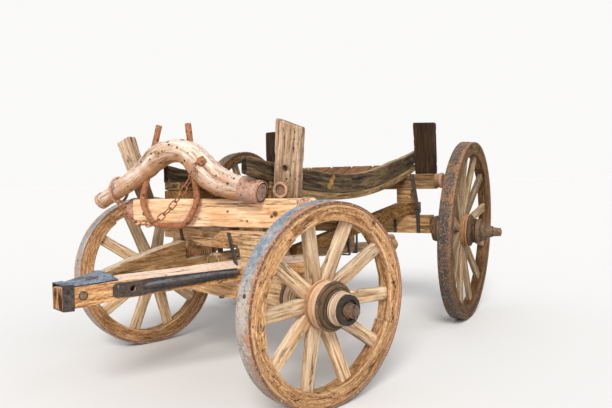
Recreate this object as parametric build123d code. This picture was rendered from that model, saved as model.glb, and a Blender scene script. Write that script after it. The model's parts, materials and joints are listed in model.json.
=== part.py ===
from build123d import *
import math
import os

# Four-wheeled farm wagon with a steering fore-carriage, a curved plank bed and its ox yoke.
# Millimetres. While it is built, +X runs forward along the reach, +Y is the wagon's left,
# +Z is up, and the rear axle's middle stands over the origin on the ground.
# At the end everything is moved so that the origin is under the middle of the whole.

# Running gear
wheelbase = 1471
steer_angle = -20.7
camber = 2.3
front_radius = 400
rear_radius = 542
front_half_track = 716
rear_half_track = 806
tyre_width = 76
tyre_thick = 10
felloe_width = 68
felloe_joint_gap = 1.5
spoke_foot_depth = 30
spoke_tenon = 22
spoke_chamfer = 5
dish = 16
axle_arm_radius = 22
running_clearance = 0.1
nave_box_wall = 9
nave_end_gap = 2
bed_end_gap = 1
nut_radius = 28
nut_length = 34
nut_stub_length = 14
collar_radius = 40
collar_length = 12
arm_depth_in_bed = 150
band_thick = 4

# Fore-carriage, in its own frame: forward of the king pin and left of it
axle_bed_thick = 96
front_bed_bottom = 355
front_bed_top = 465
arm_width = 66
arm_nose_forward = 755
arm_nose_lateral = 16
arm_axle_lateral = 205
arm_tail_back = 315
arm_nose_bottom = 398
arm_tail_bottom = 452
far_step_forward = 95
far_tail_top = 512
lug_bore_radius = 12
lug_bore_forward = 500
lug_bore_height = 460
strap_thick = 8
nose_band_length = 40
nose_band_depth = 96
nose_plate_back = 550
nose_plate_thick = 6
nose_plate_margin = 6
sand_board_bottom = 600
sand_board_top = 655
sand_board_belly = 577
sand_board_half = 436
belly_half = 128
belly_flare = 62
post_inner = 230
post_width = 112
post_flare = 30
sway_bar_bottom = 392
sway_bar_top = 434
sway_bar_notch = 3
sway_bar_half = 345
sway_bar_depth = 60
clip_thick = 6
clip_width = 24
clip_lateral = 132
clip_splay = 58
clip_sink = 10
far_clip_lateral = -282
far_clip_lean = 46

# King pin and reach pole
king_pin_radius = 12.5
king_pin_bottom = 333
king_pin_head_radius = 23
king_pin_head_height = 12
turntable_radius = 95
turntable_gap = 0.3
reach_height_at_pin = 512
reach_fall = 0.0733
reach_radius_front = 37
reach_radius_rear = 34
reach_front_overhang = 62
reach_rear_overhang = 795
reach_knob_radius = 54
reach_knob_lateral = 24
reach_burl_radius = 32

# Bolsters and their stakes
bolster_bottom = 670
bolster_top = 800
bolster_thick = 120
front_bolster_near = 440
front_bolster_far = 475
bolster_end_radius = 54
near_end_length = 62
far_end_length = 48
ferrule_offset = 6
ferrule_length = 40
rear_bed_bottom = 522
rear_bed_top = 632
rear_thick = 100
rear_bolster_bottom = 800
rear_bolster_top = 895
rear_bolster_half = 612
rear_bolster_end_radius = 44
rear_end_length = 50
hound_width = 50
hound_depth = 80
hound_lateral = 427
hound_rear_overhang = 92
hound_front_reach = 870
hound_front_drop = 182
block_half_width = 46
long_clip_offset = 35
long_clip_lean = 39
stake_thick = 50
stake_hole_radius = 11
stake_hole_lateral = 372
stake_hole_rise = 130

# Bed of bent staves, and the two bent side boards on them
packing_thick = 38
packing_reach = 50
packing_half = 298
bed_front_overhang = 29
bed_rear = -95
bed_thick = 36
bed_sag_back = 771
bed_sag_height = 772
bed_seat_depth = 2
stave_count = 6
stave_gap = 8
side_front_lateral = 285
side_rear_lateral = 465
side_front_overhang = 189
far_side_overhang = 29
side_rear = -105
side_end_slant = 55
side_end_rise = 106
side_board_thick = 34

# Yoke, bow and chain
yoke_lean = 34
left_end_radius = 36
crown_radius = 50
elbow_radius = 54
right_end_radius = 48
yoke_iron_thick = 3
ring_offset = 142
ring_rest_gap = 1.8
ring_play = 7
bow_radius = 15
bow_clearance = 0.5
bow_clear_of_board = 21
bow_corner = 88
ring_wire = 7
chain_wire = 6
chain_links = 15
chain_clear_of_board = 28
chain_bow_out = 37
chain_link_width = 32
chain_play = 0.8
hook_gap = 1.3


def polygon_yz(points):
    """A flat face in the plane X = 0 from (Y, Z) points."""
    return Plane.YZ * Polygon(*points, align=None)


def polygon_xz(points):
    """A flat face in the plane Y = 0 from (X, Z) points."""
    return Plane.XZ * Polygon(*points, align=None)


def bar_y(points, x0, x1):
    """A bar whose section in (Y, Z) is given, from x0 to x1."""
    return Pos(x0, 0, 0) * extrude(polygon_yz(points), amount=x1 - x0, dir=(1, 0, 0))


def bar_x(points, y0, y1):
    """A bar whose side view in (X, Z) is given, from y0 to y1."""
    return Pos(0, y0, 0) * extrude(polygon_xz(points), amount=y1 - y0, dir=(0, 1, 0))


def block(x0, x1, y0, y1, z0, z1):
    """A box between two corners."""
    return Pos(x0, y0, z0) * Box(x1 - x0, y1 - y0, z1 - z0, align=(Align.MIN, Align.MIN, Align.MIN))


def rod(start, end, radius, end_radius=None):
    """A round or tapered rod from one point to another."""
    a = Vector(*start)
    b = Vector(*end)
    along = b - a
    plane = Plane(origin=a, z_dir=along)
    if end_radius is None:
        return plane * Cylinder(radius, along.length, align=(Align.CENTER, Align.CENTER, Align.MIN))
    return plane * Cone(radius, end_radius, along.length, align=(Align.CENTER, Align.CENTER, Align.MIN))


def turned(profile):
    """A solid turned about the Y axis from (Y, radius) points."""
    return revolve(polygon_yz(profile), axis=Axis.Y)


def mirrored(shape):
    """The same piece on the other side of the wagon."""
    return mirror(shape, about=Plane.XZ)


def solids_of(*shapes):
    """All separate solids of the given shapes as one node."""
    found = []
    for shape in shapes:
        found.extend(shape.solids())
    return Compound(found)


cone_slope = math.tan(math.radians(camber))

# One row for each axle's wheels. Columns: radius, spoke width, spoke thickness at the nave and
# at the rim.
wheel_table = {
    "front": (front_radius, 50, 34, 27),
    "rear": (rear_radius, 46, 36, 28),
}
spoke_count = {"front": 10, "rear": 12}
felloe_count = {"front": 5, "rear": 6}

# Nave profiles, as (distance outboard of the rim's middle, radius).
nave_table = {
    "front": [(-200, 70), (-170, 77), (-60, 94), (-52, 95), (32, 95), (52, 86), (94, 66), (105, 63)],
    "rear": [(-207, 74), (-175, 80), (-66, 97), (-58, 98), (34, 98), (58, 88), (134, 58), (151, 53)],
}

# Iron hoops on each nave, as (start, end) along the axle.
hoop_table = {
    "front": [(-198, -174), (-82, -62), (36, 50), (84, 94)],
    "rear": [(-205, -179), (-88, -68), (38, 56), (112, 130)],
}

# How deep each felloe is, since every one was cut and worn differently.
felloe_depths = {
    "front": [62, 66, 59, 63, 57],
    "rear": [64, 68, 62, 66, 60, 65],
}


def nave_radius(profile, y):
    """The nave's radius at a distance along the axle."""
    for (y0, r0), (y1, r1) in zip(profile, profile[1:]):
        if y0 <= y <= y1:
            return r0 + (r1 - r0) * (y - y0) / (y1 - y0)
    return profile[-1][1]


def spoke_solid(nave_r, rim_r, width, thick_nave, thick_rim):
    """A flat tapered spoke with a foot that enters the nave and chamfered long edges."""
    shoulder_r = nave_r - 5
    def section(radius, w, t, y):
        outline = chamfer(Rectangle(w, t).vertices(), spoke_chamfer)
        return Plane(origin=(0, y, radius), z_dir=(0, 0, 1)) * outline
    body = loft([section(shoulder_r, width, thick_nave, -dish), section(rim_r, width, thick_rim, 0)])
    foot = block(-14, 14, -dish - 13, -dish + 13, nave_r - spoke_foot_depth, shoulder_r)
    return body + foot


def wheel_pieces(kind):
    """The five pieces of a near-side wheel, its axle along +Y and its rim's middle at Y = 0."""
    radius, spoke_width, thick_nave, thick_rim = wheel_table[kind]
    profile = nave_table[kind]
    nave_r = nave_radius(profile, 0)
    half_tyre = tyre_width / 2
    half_felloe = felloe_width / 2

    def tread(y, below=0):
        return radius - y * cone_slope - below

    tyre = turned([
        (-half_tyre, tread(-half_tyre)), (half_tyre, tread(half_tyre)),
        (half_tyre, tread(half_tyre, tyre_thick)), (-half_tyre, tread(-half_tyre, tyre_thick)),
    ])

    rim_r = radius - tyre_thick - 56 + spoke_tenon
    spoke = spoke_solid(nave_r, rim_r, spoke_width, thick_nave, thick_rim)
    step = 360 / spoke_count[kind]
    spokes = [Rot(0, step * (i + 0.5), 0) * spoke for i in range(spoke_count[kind])]

    felloes = []
    share = 360 / felloe_count[kind]
    gap_angle = math.degrees(felloe_joint_gap / radius)
    for i in range(felloe_count[kind]):
        depth = felloe_depths[kind][i]
        face = polygon_yz([
            (-half_felloe, tread(-half_felloe, tyre_thick)), (half_felloe, tread(half_felloe, tyre_thick)),
            (half_felloe, radius - tyre_thick - depth), (-half_felloe, radius - tyre_thick - depth),
        ])
        felloe = revolve(Rot(0, share * i, 0) * face, axis=Axis.Y, revolution_arc=share - gap_angle)
        for other in spokes:
            felloe = felloe - other
        felloes.append(felloe)

    bore_r = axle_arm_radius + running_clearance + nave_box_wall
    inner_y = profile[0][0]
    outer_y = profile[-1][0]
    nave = turned([(inner_y, bore_r)] + profile + [(outer_y, bore_r)])
    for other in spokes:
        nave = nave - other

    box_r = axle_arm_radius + running_clearance
    irons = [turned([(inner_y, box_r), (inner_y, bore_r), (outer_y + 3, bore_r), (outer_y + 3, box_r)])]
    for y0, y1 in hoop_table[kind]:
        r0 = nave_radius(profile, y0)
        r1 = nave_radius(profile, y1)
        irons.append(turned([(y0, r0), (y1, r1), (y1, r1 + band_thick), (y0, r0 + band_thick)]))

    return {
        "tyre": tyre,
        "felloes": solids_of(*felloes),
        "spokes": solids_of(*spokes),
        "nave": nave,
        "nave_irons": solids_of(*irons),
    }


def axle_arm(kind):
    """The near-side iron axle arm with its collar and nut, in the wheel's own frame."""
    profile = nave_table[kind]
    inner_y = profile[0][0]
    outer_y = profile[-1][0] + 3
    nut_y = outer_y + nave_end_gap
    arm = turned([
        (inner_y - arm_depth_in_bed, 0), (inner_y - arm_depth_in_bed, axle_arm_radius),
        (inner_y - nave_end_gap - collar_length, axle_arm_radius),
        (inner_y - nave_end_gap - collar_length, collar_radius),
        (inner_y - nave_end_gap, collar_radius), (inner_y - nave_end_gap, axle_arm_radius),
        (nut_y, axle_arm_radius), (nut_y, nut_radius), (nut_y + nut_length, nut_radius - 3),
        (nut_y + nut_length, axle_arm_radius - 6),
        (nut_y + nut_length + nut_stub_length, axle_arm_radius - 6),
        (nut_y + nut_length + nut_stub_length, 0),
    ])
    pin_y = nut_y + nut_length + nut_stub_length / 2
    return arm + rod((0, pin_y, -26), (0, pin_y, 26), 4)


def seat_wheel(shape, radius, half_track):
    """Tilt a near-side wheel piece by the camber and set it on the ground at its track."""
    height = radius * math.cos(math.radians(camber))
    return Pos(0, half_track, height) * (Rot(-camber, 0, 0) * shape)


def to_carriage(shape):
    """Turn a fore-carriage piece about the king pin to the steering angle and set it there."""
    return Pos(wheelbase, 0, 0) * (Rot(0, 0, steer_angle) * shape)


nodes = {}

# Wheels and axle arms
arms = {}
for kind, radius, half_track in (
    ("front", front_radius, front_half_track),
    ("rear", rear_radius, rear_half_track),
):
    pieces = wheel_pieces(kind)
    near_arm = seat_wheel(axle_arm(kind), radius, half_track)
    arms[kind] = [near_arm, mirrored(near_arm)]
    for piece_name, shape in pieces.items():
        near = seat_wheel(shape, radius, half_track)
        far = mirrored(near)
        if kind == "front":
            near = to_carriage(near)
            far = to_carriage(far)
        nodes[f"{kind}_left_{piece_name}"] = near
        nodes[f"{kind}_right_{piece_name}"] = far



def bed_half(kind, half_track):
    """How far an axle bed reaches, to just short of the arm's collar."""
    return half_track + nave_table[kind][0][0] - nave_end_gap - collar_length - bed_end_gap


front_bed_half = bed_half("front", front_half_track)
rear_bed_half = bed_half("rear", rear_half_track)

# Front axle bed, in the fore-carriage's own frame
half_bed = axle_bed_thick / 2
front_bed = block(-half_bed, half_bed, -front_bed_half, front_bed_half, front_bed_bottom, front_bed_top)
for arm in arms["front"]:
    front_bed = front_bed - arm

# Drawbar arms: tapered timbers that meet at the nose and run on behind the axle
arm_slope = (arm_axle_lateral - arm_nose_lateral) / arm_nose_forward
arm_heading = math.degrees(math.atan(arm_slope))
arm_cos = math.cos(math.radians(arm_heading))
arm_half_lateral = arm_width / (2 * arm_cos)

# Heights of the two arms, each hewn from its own timber. The far one is a deep timber that is
# stepped down ahead of the sand board to a lower tail. Columns: distance forward of the king pin,
# bottom, top of the outer edge, top of the inner edge.
near_arm_table = [
    (arm_nose_forward, arm_nose_bottom, 483, 487), (510, 423, 496, 511), (330, 435, 494, 516),
    (155, 442, 500, 525), (0, 446, 502, 530), (-arm_tail_back, arm_tail_bottom, 503, 528),
]
far_arm_table = [
    (arm_nose_forward, arm_nose_bottom, 479, 485), (550, 420, 513, 513), (420, 430, 546, 546),
    (220, 439, 584, 584), (far_step_forward, 444, 600, 600),
]
far_tail_table = [
    (220, 439, far_tail_top, far_tail_top), (0, 446, far_tail_top, far_tail_top),
    (-arm_tail_back, arm_tail_bottom, far_tail_top, far_tail_top),
]


def arm_lateral(forward):
    """Distance of an arm's middle line from the middle of the carriage."""
    return arm_axle_lateral - arm_slope * forward


def arm_height(table, forward, column):
    """A height from an arm's table at any place along it."""
    for front, back in zip(table, table[1:]):
        if back[0] <= forward <= front[0]:
            share = (forward - back[0]) / (front[0] - back[0])
            return back[column] + (front[column] - back[column]) * share
    return table[-1][column]


def drawbar_arm(table):
    """One near-side arm, ruled from section to section and cut off at the middle plane."""
    sections = []
    for forward, bottom, outer, inner in table:
        low = arm_lateral(forward) - arm_half_lateral
        high = arm_lateral(forward) + arm_half_lateral
        sections.append(Pos(forward, 0, 0) * polygon_yz([
            (low, bottom), (high, bottom), (high, outer), (low, inner),
        ]))
    beam = loft(sections, ruled=True)
    beyond_middle = block(-arm_tail_back - 50, arm_nose_forward + 50, -arm_width, 0, 300, 700)
    return beam - beyond_middle


lug_bore = rod((lug_bore_forward, -300, lug_bore_height), (lug_bore_forward, 300, lug_bore_height), lug_bore_radius)
near_arm_beam = drawbar_arm(near_arm_table) - lug_bore
far_arm_beam = mirrored(drawbar_arm(far_arm_table) + drawbar_arm(far_tail_table)) - lug_bore
front_bed = front_bed - near_arm_beam - far_arm_beam

# Forged straps on the arms' outer sides, each with a flat lug around the bore. Columns: distance
# forward of the king pin, bottom, top.
strap_table = [
    (567, 440, 474), (555, 430, 486), (455, 428, 491), (420, 437, 495), (155, 460, 500), (60, 463, 503),
]
lower = [(forward / arm_cos, bottom) for forward, bottom, top in strap_table]
upper = [(forward / arm_cos, top) for forward, bottom, top in reversed(strap_table)]
strap = bar_x(lower + upper, arm_width / 2, arm_width / 2 + strap_thick)
strap = Pos(0, arm_axle_lateral, 0) * (Rot(0, 0, -arm_heading) * strap) - lug_bore
nodes["drawbar_straps"] = to_carriage(solids_of(strap, mirrored(strap)))

# Nose band and top plate
nose_half = arm_nose_lateral + arm_half_lateral
band_back = arm_nose_forward - nose_band_length
band_half = nose_half + nose_band_length * arm_slope


def nose_ring(grow, over):
    """A tapered block about the nose, a wall larger all round and some way longer."""
    outline = Polygon(
        (band_back - over, -band_half - over * arm_slope - grow), (arm_nose_forward + over, -nose_half + over * arm_slope - grow),
        (arm_nose_forward + over, nose_half - over * arm_slope + grow), (band_back - over, band_half + over * arm_slope + grow),
        align=None,
    )
    return Pos(0, 0, arm_nose_bottom - grow) * extrude(outline, amount=nose_band_depth + 2 * grow, dir=(0, 0, 1))


nose_band = nose_ring(band_thick, 0) - nose_ring(0, 1) - near_arm_beam - far_arm_beam


def plate_section(forward, margin):
    """The top plate's section, laid over the far arm's top and the near arm's sloping top."""
    edge = arm_lateral(forward) + arm_half_lateral - margin
    gap = max(arm_lateral(forward) - arm_half_lateral, 3)
    near_inner = arm_height(near_arm_table, forward, 3)
    near_outer = arm_height(near_arm_table, forward, 2)
    far_top = arm_height(far_arm_table, forward, 3)
    line = [(-edge, arm_height(far_arm_table, forward, 2)), (-gap, far_top), (gap, near_inner), (edge, near_outer)]
    raised = [(y, z + nose_plate_thick) for y, z in reversed(line)]
    return Pos(forward, 0, 0) * polygon_yz(line + raised)


nose_plate = loft([plate_section(band_back - 1, 0), plate_section(nose_plate_back, nose_plate_margin)], ruled=True)
nose_plate = nose_plate - near_arm_beam - far_arm_beam
nodes["drawbar_nose_irons"] = to_carriage(solids_of(nose_band, nose_plate))

# Posts and the sand board that the bolster turns on
pin_hole = rod((0, 0, 300), (0, 0, 900), king_pin_radius + running_clearance)
sand_profile = make_face(
    [
        Line((-sand_board_half, sand_board_top), (sand_board_half, sand_board_top)),
        Line((sand_board_half, sand_board_top), (sand_board_half, sand_board_bottom)),
        Line((sand_board_half, sand_board_bottom), (belly_half + belly_flare, sand_board_bottom)),
        ThreePointArc(
            (belly_half + belly_flare, sand_board_bottom),
            (belly_half + belly_flare * 0.45, sand_board_bottom - 8),
            (belly_half, sand_board_belly),
        ),
        Line((belly_half, sand_board_belly), (-belly_half, sand_board_belly)),
        ThreePointArc(
            (-belly_half, sand_board_belly),
            (-belly_half - belly_flare * 0.45, sand_board_bottom - 8),
            (-belly_half - belly_flare, sand_board_bottom),
        ),
        Line((-belly_half - belly_flare, sand_board_bottom), (-sand_board_half, sand_board_bottom)),
        Line((-sand_board_half, sand_board_bottom), (-sand_board_half, sand_board_top)),
    ]
)
sand_board = Pos(-half_bed, 0, 0) * extrude(Plane.YZ * sand_profile, amount=axle_bed_thick, dir=(1, 0, 0))
post_profile = [
    (post_inner, front_bed_top), (post_inner + post_width, front_bed_top),
    (post_inner + post_width + 12, sand_board_bottom), (post_inner - post_flare, sand_board_bottom),
    (post_inner - post_flare * 0.45, sand_board_bottom - 22), (post_inner - 6, sand_board_bottom - 62),
]
post = bar_y(post_profile, -half_bed + 2, half_bed - 2)
far_post = mirrored(post) - far_arm_beam
post = post - near_arm_beam
nodes["front_axle_bed"] = to_carriage(front_bed - pin_hole)
nodes["front_axle_irons"] = to_carriage(solids_of(*arms["front"]))
nodes["sand_board"] = to_carriage(sand_board - pin_hole)
nodes["carriage_posts"] = to_carriage(solids_of(post, far_post))

# Sway bar behind the axle, under the tails of the arms and under the reach
bar_mid = -(arm_tail_back - sway_bar_depth / 2)
bar_end_top = arm_tail_bottom + sway_bar_notch
sway_profile = [
    (-sway_bar_half, sway_bar_bottom + 14), (-sway_bar_half, bar_end_top),
    (-238, bar_end_top), (-212, sway_bar_top), (212, sway_bar_top),
    (238, bar_end_top), (sway_bar_half, bar_end_top),
    (sway_bar_half, sway_bar_bottom + 14), (sway_bar_half - 60, sway_bar_bottom),
    (-sway_bar_half + 60, sway_bar_bottom),
]
sway_bar = bar_y(sway_profile, bar_mid - sway_bar_depth / 2, bar_mid + sway_bar_depth / 2)
sway_bar = sway_bar - near_arm_beam - far_arm_beam
nodes["sway_bar"] = to_carriage(sway_bar)
nodes["drawbar_arm_left"] = to_carriage(near_arm_beam)
nodes["drawbar_arm_right"] = to_carriage(far_arm_beam)

# Iron clips from the sand board down to the arms


def arm_clip(top_lateral, foot_lateral, foot_height):
    """A clip on the carriage's front face, from the sand board down to an arm."""
    profile = [
        (top_lateral, sand_board_top - 4), (top_lateral + clip_width, sand_board_top - 4),
        (foot_lateral + clip_width, foot_height), (foot_lateral, foot_height),
    ]
    return bar_y(profile, half_bed, half_bed + clip_thick)


near_foot = arm_height(near_arm_table, half_bed, 2) - clip_sink
clip = arm_clip(clip_lateral, clip_lateral + clip_splay, near_foot) - near_arm_beam
far_clip = arm_clip(far_clip_lateral, far_clip_lateral + far_clip_lean, far_tail_top - clip_sink) - far_arm_beam
nodes["carriage_clips"] = to_carriage(solids_of(clip, far_clip))


# Reach pole
def reach_axis(x):
    """Height of the reach's middle line at a place along the wagon."""
    return reach_height_at_pin - reach_fall * (wheelbase - x)


reach_front_x = wheelbase + reach_front_overhang
reach_rear_x = -reach_rear_overhang
reach_solid = rod(
    (reach_rear_x, 0, reach_axis(reach_rear_x)), (reach_front_x, 0, reach_axis(reach_front_x)),
    reach_radius_rear, reach_radius_front,
)
world_pin_hole = Pos(wheelbase, 0, 0) * pin_hole
knob = Pos(reach_rear_x, reach_knob_lateral, reach_axis(reach_rear_x)) * Sphere(reach_knob_radius)
burl = Pos(reach_rear_x, reach_knob_lateral, reach_axis(reach_rear_x) + reach_knob_radius) * Sphere(reach_burl_radius)
nodes["reach_pole"] = reach_solid + knob + burl - world_pin_hole

# Front bolster with turned ends
half_bolster = bolster_thick / 2
bolster_mid = bolster_top - bolster_end_radius
front_bolster = block(
    wheelbase - half_bolster, wheelbase + half_bolster,
    -front_bolster_far, front_bolster_near, bolster_bottom, bolster_top,
)
front_bolster = front_bolster + rod(
    (wheelbase, front_bolster_near - 5, bolster_mid),
    (wheelbase, front_bolster_near + near_end_length, bolster_mid), bolster_end_radius,
)
front_bolster = front_bolster + rod(
    (wheelbase, -front_bolster_far + 5, bolster_mid),
    (wheelbase, -front_bolster_far - far_end_length, bolster_mid), bolster_end_radius,
)
front_bolster = front_bolster - world_pin_hole
nodes["front_bolster"] = front_bolster


def ferrule(x, y0, y1, z, radius):
    """An iron hoop about a turned end, along Y."""
    outer = rod((x, y0, z), (x, y1, z), radius + band_thick)
    inner = rod((x, y0 - 1, z), (x, y1 + 1, z), radius)
    return outer - inner


near_hoop_start = front_bolster_near + ferrule_offset
near_hoop = ferrule(wheelbase, near_hoop_start, near_hoop_start + ferrule_length, bolster_mid, bolster_end_radius)
far_hoop_start = -front_bolster_far - ferrule_offset
far_hoop = ferrule(wheelbase, far_hoop_start - ferrule_length, far_hoop_start, bolster_mid, bolster_end_radius)

# King pin with its head and the turntable disc that carries the bolster
king_pin = revolve(
    polygon_xz([
        (0, king_pin_bottom), (king_pin_radius, king_pin_bottom),
        (king_pin_radius, sand_board_top + turntable_gap), (turntable_radius, sand_board_top + turntable_gap),
        (turntable_radius, bolster_bottom), (king_pin_radius, bolster_bottom),
        (king_pin_radius, bolster_top), (king_pin_head_radius, bolster_top),
        (king_pin_head_radius, bolster_top + king_pin_head_height), (0, bolster_top + king_pin_head_height),
    ]),
    axis=Axis.Z,
)
nodes["king_pin"] = Pos(wheelbase, 0, 0) * king_pin

# Rear axle bed
half_rear = rear_thick / 2
rear_bed = block(-half_rear, half_rear, -rear_bed_half, rear_bed_half, rear_bed_bottom, rear_bed_top)
for arm in arms["rear"]:
    rear_bed = rear_bed - arm
nodes["rear_axle_bed"] = rear_bed
nodes["rear_axle_irons"] = solids_of(*arms["rear"])

# Hounds: level over the rear axle, then down and inward to the sides of the reach
hound_slope = (hound_lateral - reach_radius_front - hound_width / 2) / hound_front_reach
hound_heading = math.degrees(math.atan(hound_slope))
hound_cos = math.cos(math.radians(hound_heading))
front_low = rear_bed_top - hound_front_drop
hound_side = [
    (-hound_rear_overhang, rear_bed_top + 12), (-hound_rear_overhang + 26, rear_bed_top),
    (half_rear + 12, rear_bed_top), (hound_front_reach, front_low),
    (hound_front_reach, front_low + hound_depth - 14), (half_rear + 30, rear_bed_top + hound_depth),
    (-hound_rear_overhang, rear_bed_top + hound_depth),
]
hound = bar_x([(x / hound_cos, z) for x, z in hound_side], -hound_width / 2, hound_width / 2)
hound = Pos(0, hound_lateral, 0) * (Rot(0, 0, -hound_heading) * hound)
scallop = rod((-hound_rear_overhang - 16, 0, rear_bed_top + 46), (-hound_rear_overhang - 16, 900, rear_bed_top + 46), 26)
hound = hound - scallop - reach_solid
nodes["rear_hound_left"] = hound
nodes["rear_hound_right"] = mirrored(hound)

# Spacer blocks under the rear bolster, and the saddle between the axle bed and the reach
block_y = hound_lateral - 12
spacer = block(
    -half_rear + 6, half_rear - 6, block_y - block_half_width, block_y + block_half_width,
    rear_bed_top + hound_depth, rear_bolster_bottom,
)
saddle = block(-half_rear + 8, half_rear - 8, -34, 34, reach_axis(0), rear_bed_bottom) - reach_solid
saddle_top = [solid for solid in saddle.solids() if solid.bounding_box().max.Z > rear_bed_bottom - 1]
nodes["rear_blocks"] = solids_of(spacer, mirrored(spacer), *saddle_top)

# Rear bolster with turned ends
rear_end_mid = rear_bolster_top - rear_bolster_end_radius
rear_bolster = block(
    -half_rear, half_rear, -rear_bolster_half, rear_bolster_half, rear_bolster_bottom, rear_bolster_top
)
for side in (-1, 1):
    rear_bolster = rear_bolster + rod(
        (0, side * (rear_bolster_half - 5), rear_end_mid),
        (0, side * (rear_bolster_half + rear_end_length), rear_end_mid), rear_bolster_end_radius,
    )
nodes["rear_bolster"] = rear_bolster
rear_hoop = ferrule(
    0, rear_bolster_half + 30, rear_bolster_half + 30 + 16, rear_end_mid, rear_bolster_end_radius
)
nodes["bolster_ferrules"] = solids_of(near_hoop, far_hoop, rear_hoop, mirrored(rear_hoop))

# Upright clips on the rear stack, and the stirrups that carry the reach
clip_top_y = hound_lateral + long_clip_offset
clip_foot_y = clip_top_y + long_clip_lean
clip_bar = bar_y(
    [
        (clip_top_y, rear_bolster_top), (clip_top_y + clip_width, rear_bolster_top),
        (clip_foot_y + clip_width - 4, rear_bed_top + 40), (clip_foot_y + clip_width, rear_bed_bottom),
        (clip_foot_y, rear_bed_bottom), (clip_foot_y - 4, rear_bed_top + 40),
    ],
    half_rear, half_rear + clip_thick,
)
short_clip = block(
    half_rear, half_rear + clip_thick, hound_lateral - 78, hound_lateral - 78 + 18,
    rear_bed_bottom, rear_bed_top,
)
stirrup_low = reach_axis(half_rear) - reach_radius_front - clip_thick
stirrup = block(
    half_rear, half_rear + 26, -reach_radius_front - clip_thick, reach_radius_front + clip_thick,
    stirrup_low, rear_bed_bottom + 70,
)
stirrup = stirrup - block(
    half_rear - 1, half_rear + 27, -reach_radius_front, reach_radius_front,
    stirrup_low + clip_thick, rear_bed_bottom + 80,
)
rear_stirrup = mirror(stirrup, about=Plane.YZ)
stirrups = solids_of(stirrup - reach_solid, rear_stirrup - reach_solid)
nodes["rear_clips"] = solids_of(clip_bar, mirrored(clip_bar), short_clip, mirrored(short_clip), stirrups)

# Stakes on the bolsters
front_stake_x = wheelbase - 20

# Stakes, each split from its own board. Columns: inner and outer edge of the foot, inner and outer
# edge of the top, and the top's height over the bolster at its inner and outer corner.
stake_table = {
    "front near": (308, 428, 330, 452, 348, 305),
    "front far": (402, front_bolster_far - 2, 514, 599, 311, 282),
    "rear": (
        rear_bolster_half - 126, rear_bolster_half + 5, rear_bolster_half - 138, rear_bolster_half + 1, 325, 319,
    ),
}


def stake(name, foot_height, x):
    """A near-side stake from its table row, on a bolster of that height."""
    foot_in, foot_out, top_in, top_out, rise_in, rise_out = stake_table[name]
    return bar_y(
        [
            (foot_in, foot_height), (foot_out, foot_height),
            (top_out, foot_height + rise_out), (top_in, foot_height + rise_in),
        ],
        x, x + stake_thick,
    )


stake_hole_height = bolster_top + stake_hole_rise
front_stake = stake("front near", bolster_top, front_stake_x) - rod(
    (front_stake_x - 10, stake_hole_lateral, stake_hole_height),
    (front_stake_x + stake_thick + 10, stake_hole_lateral, stake_hole_height), stake_hole_radius,
)
nodes["front_stakes"] = solids_of(front_stake, mirrored(stake("front far", bolster_top, front_stake_x)))
rear_stake = stake("rear", rear_bolster_top, -stake_thick / 2)
nodes["rear_stakes"] = solids_of(rear_stake, mirrored(rear_stake))

# Packing plank on the front bolster
bed_front = wheelbase + bed_front_overhang
side_front = wheelbase + side_front_overhang
packing_back = wheelbase - packing_reach
packing = block(
    packing_back, bed_front, -packing_half, packing_half, bolster_top, bolster_top + packing_thick
)
packing = packing - rod((wheelbase, 0, bolster_top - 1), (wheelbase, 0, 900), king_pin_head_radius + 3)
nodes["bed_packing"] = packing


# Bent staves and side boards
def bent_profile(bottom_arc, top_arc):
    """A face in (X, Z) between a lower and an upper three-point arc."""
    lower = ThreePointArc(*bottom_arc)
    upper = ThreePointArc(*top_arc)
    return make_face([
        lower, Line(bottom_arc[2], top_arc[2]), upper, Line(top_arc[0], bottom_arc[0]),
    ])


packing_top = bolster_top + packing_thick


def on_arc(rear, middle, front, x):
    """Height at x of the circle through three (x, z) points."""
    (x1, z1), (x2, z2), (x3, z3) = rear, middle, front
    d = 2 * (x1 * (z2 - z3) + x2 * (z3 - z1) + x3 * (z1 - z2))
    s1 = x1 * x1 + z1 * z1
    s2 = x2 * x2 + z2 * z2
    s3 = x3 * x3 + z3 * z3
    cx = (s1 * (z2 - z3) + s2 * (z3 - z1) + s3 * (z1 - z2)) / d
    cz = (s1 * (x3 - x2) + s2 * (x1 - x3) + s3 * (x2 - x1)) / d
    r = math.hypot(x1 - cx, z1 - cz)
    return cz - math.sqrt(r * r - (x - cx) ** 2)


bed_sag_x = wheelbase - bed_sag_back
low_points = (
    (0, rear_bolster_top - bed_seat_depth), (bed_sag_x, bed_sag_height),
    (wheelbase, packing_top - bed_seat_depth),
)


def low_at(x, up=0):
    """A point on the bed's underside, or a height above it."""
    return (x, on_arc(*low_points, x) + up)


bed_face = bent_profile(
    [low_at(bed_rear), low_at(bed_sag_x), low_at(bed_front)],
    [low_at(bed_rear, bed_thick), low_at(bed_sag_x, bed_thick), low_at(bed_front, bed_thick)],
)
bed_sheet = Pos(0, -600, 0) * extrude(Plane.XZ * bed_face, amount=1200, dir=(0, 1, 0))


def side_lateral(x):
    """Distance of the bed's outer line from the middle at a place along the wagon."""
    share = (x - side_rear) / (side_front - side_rear)
    return side_rear_lateral + (side_front_lateral - side_rear_lateral) * share


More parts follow.
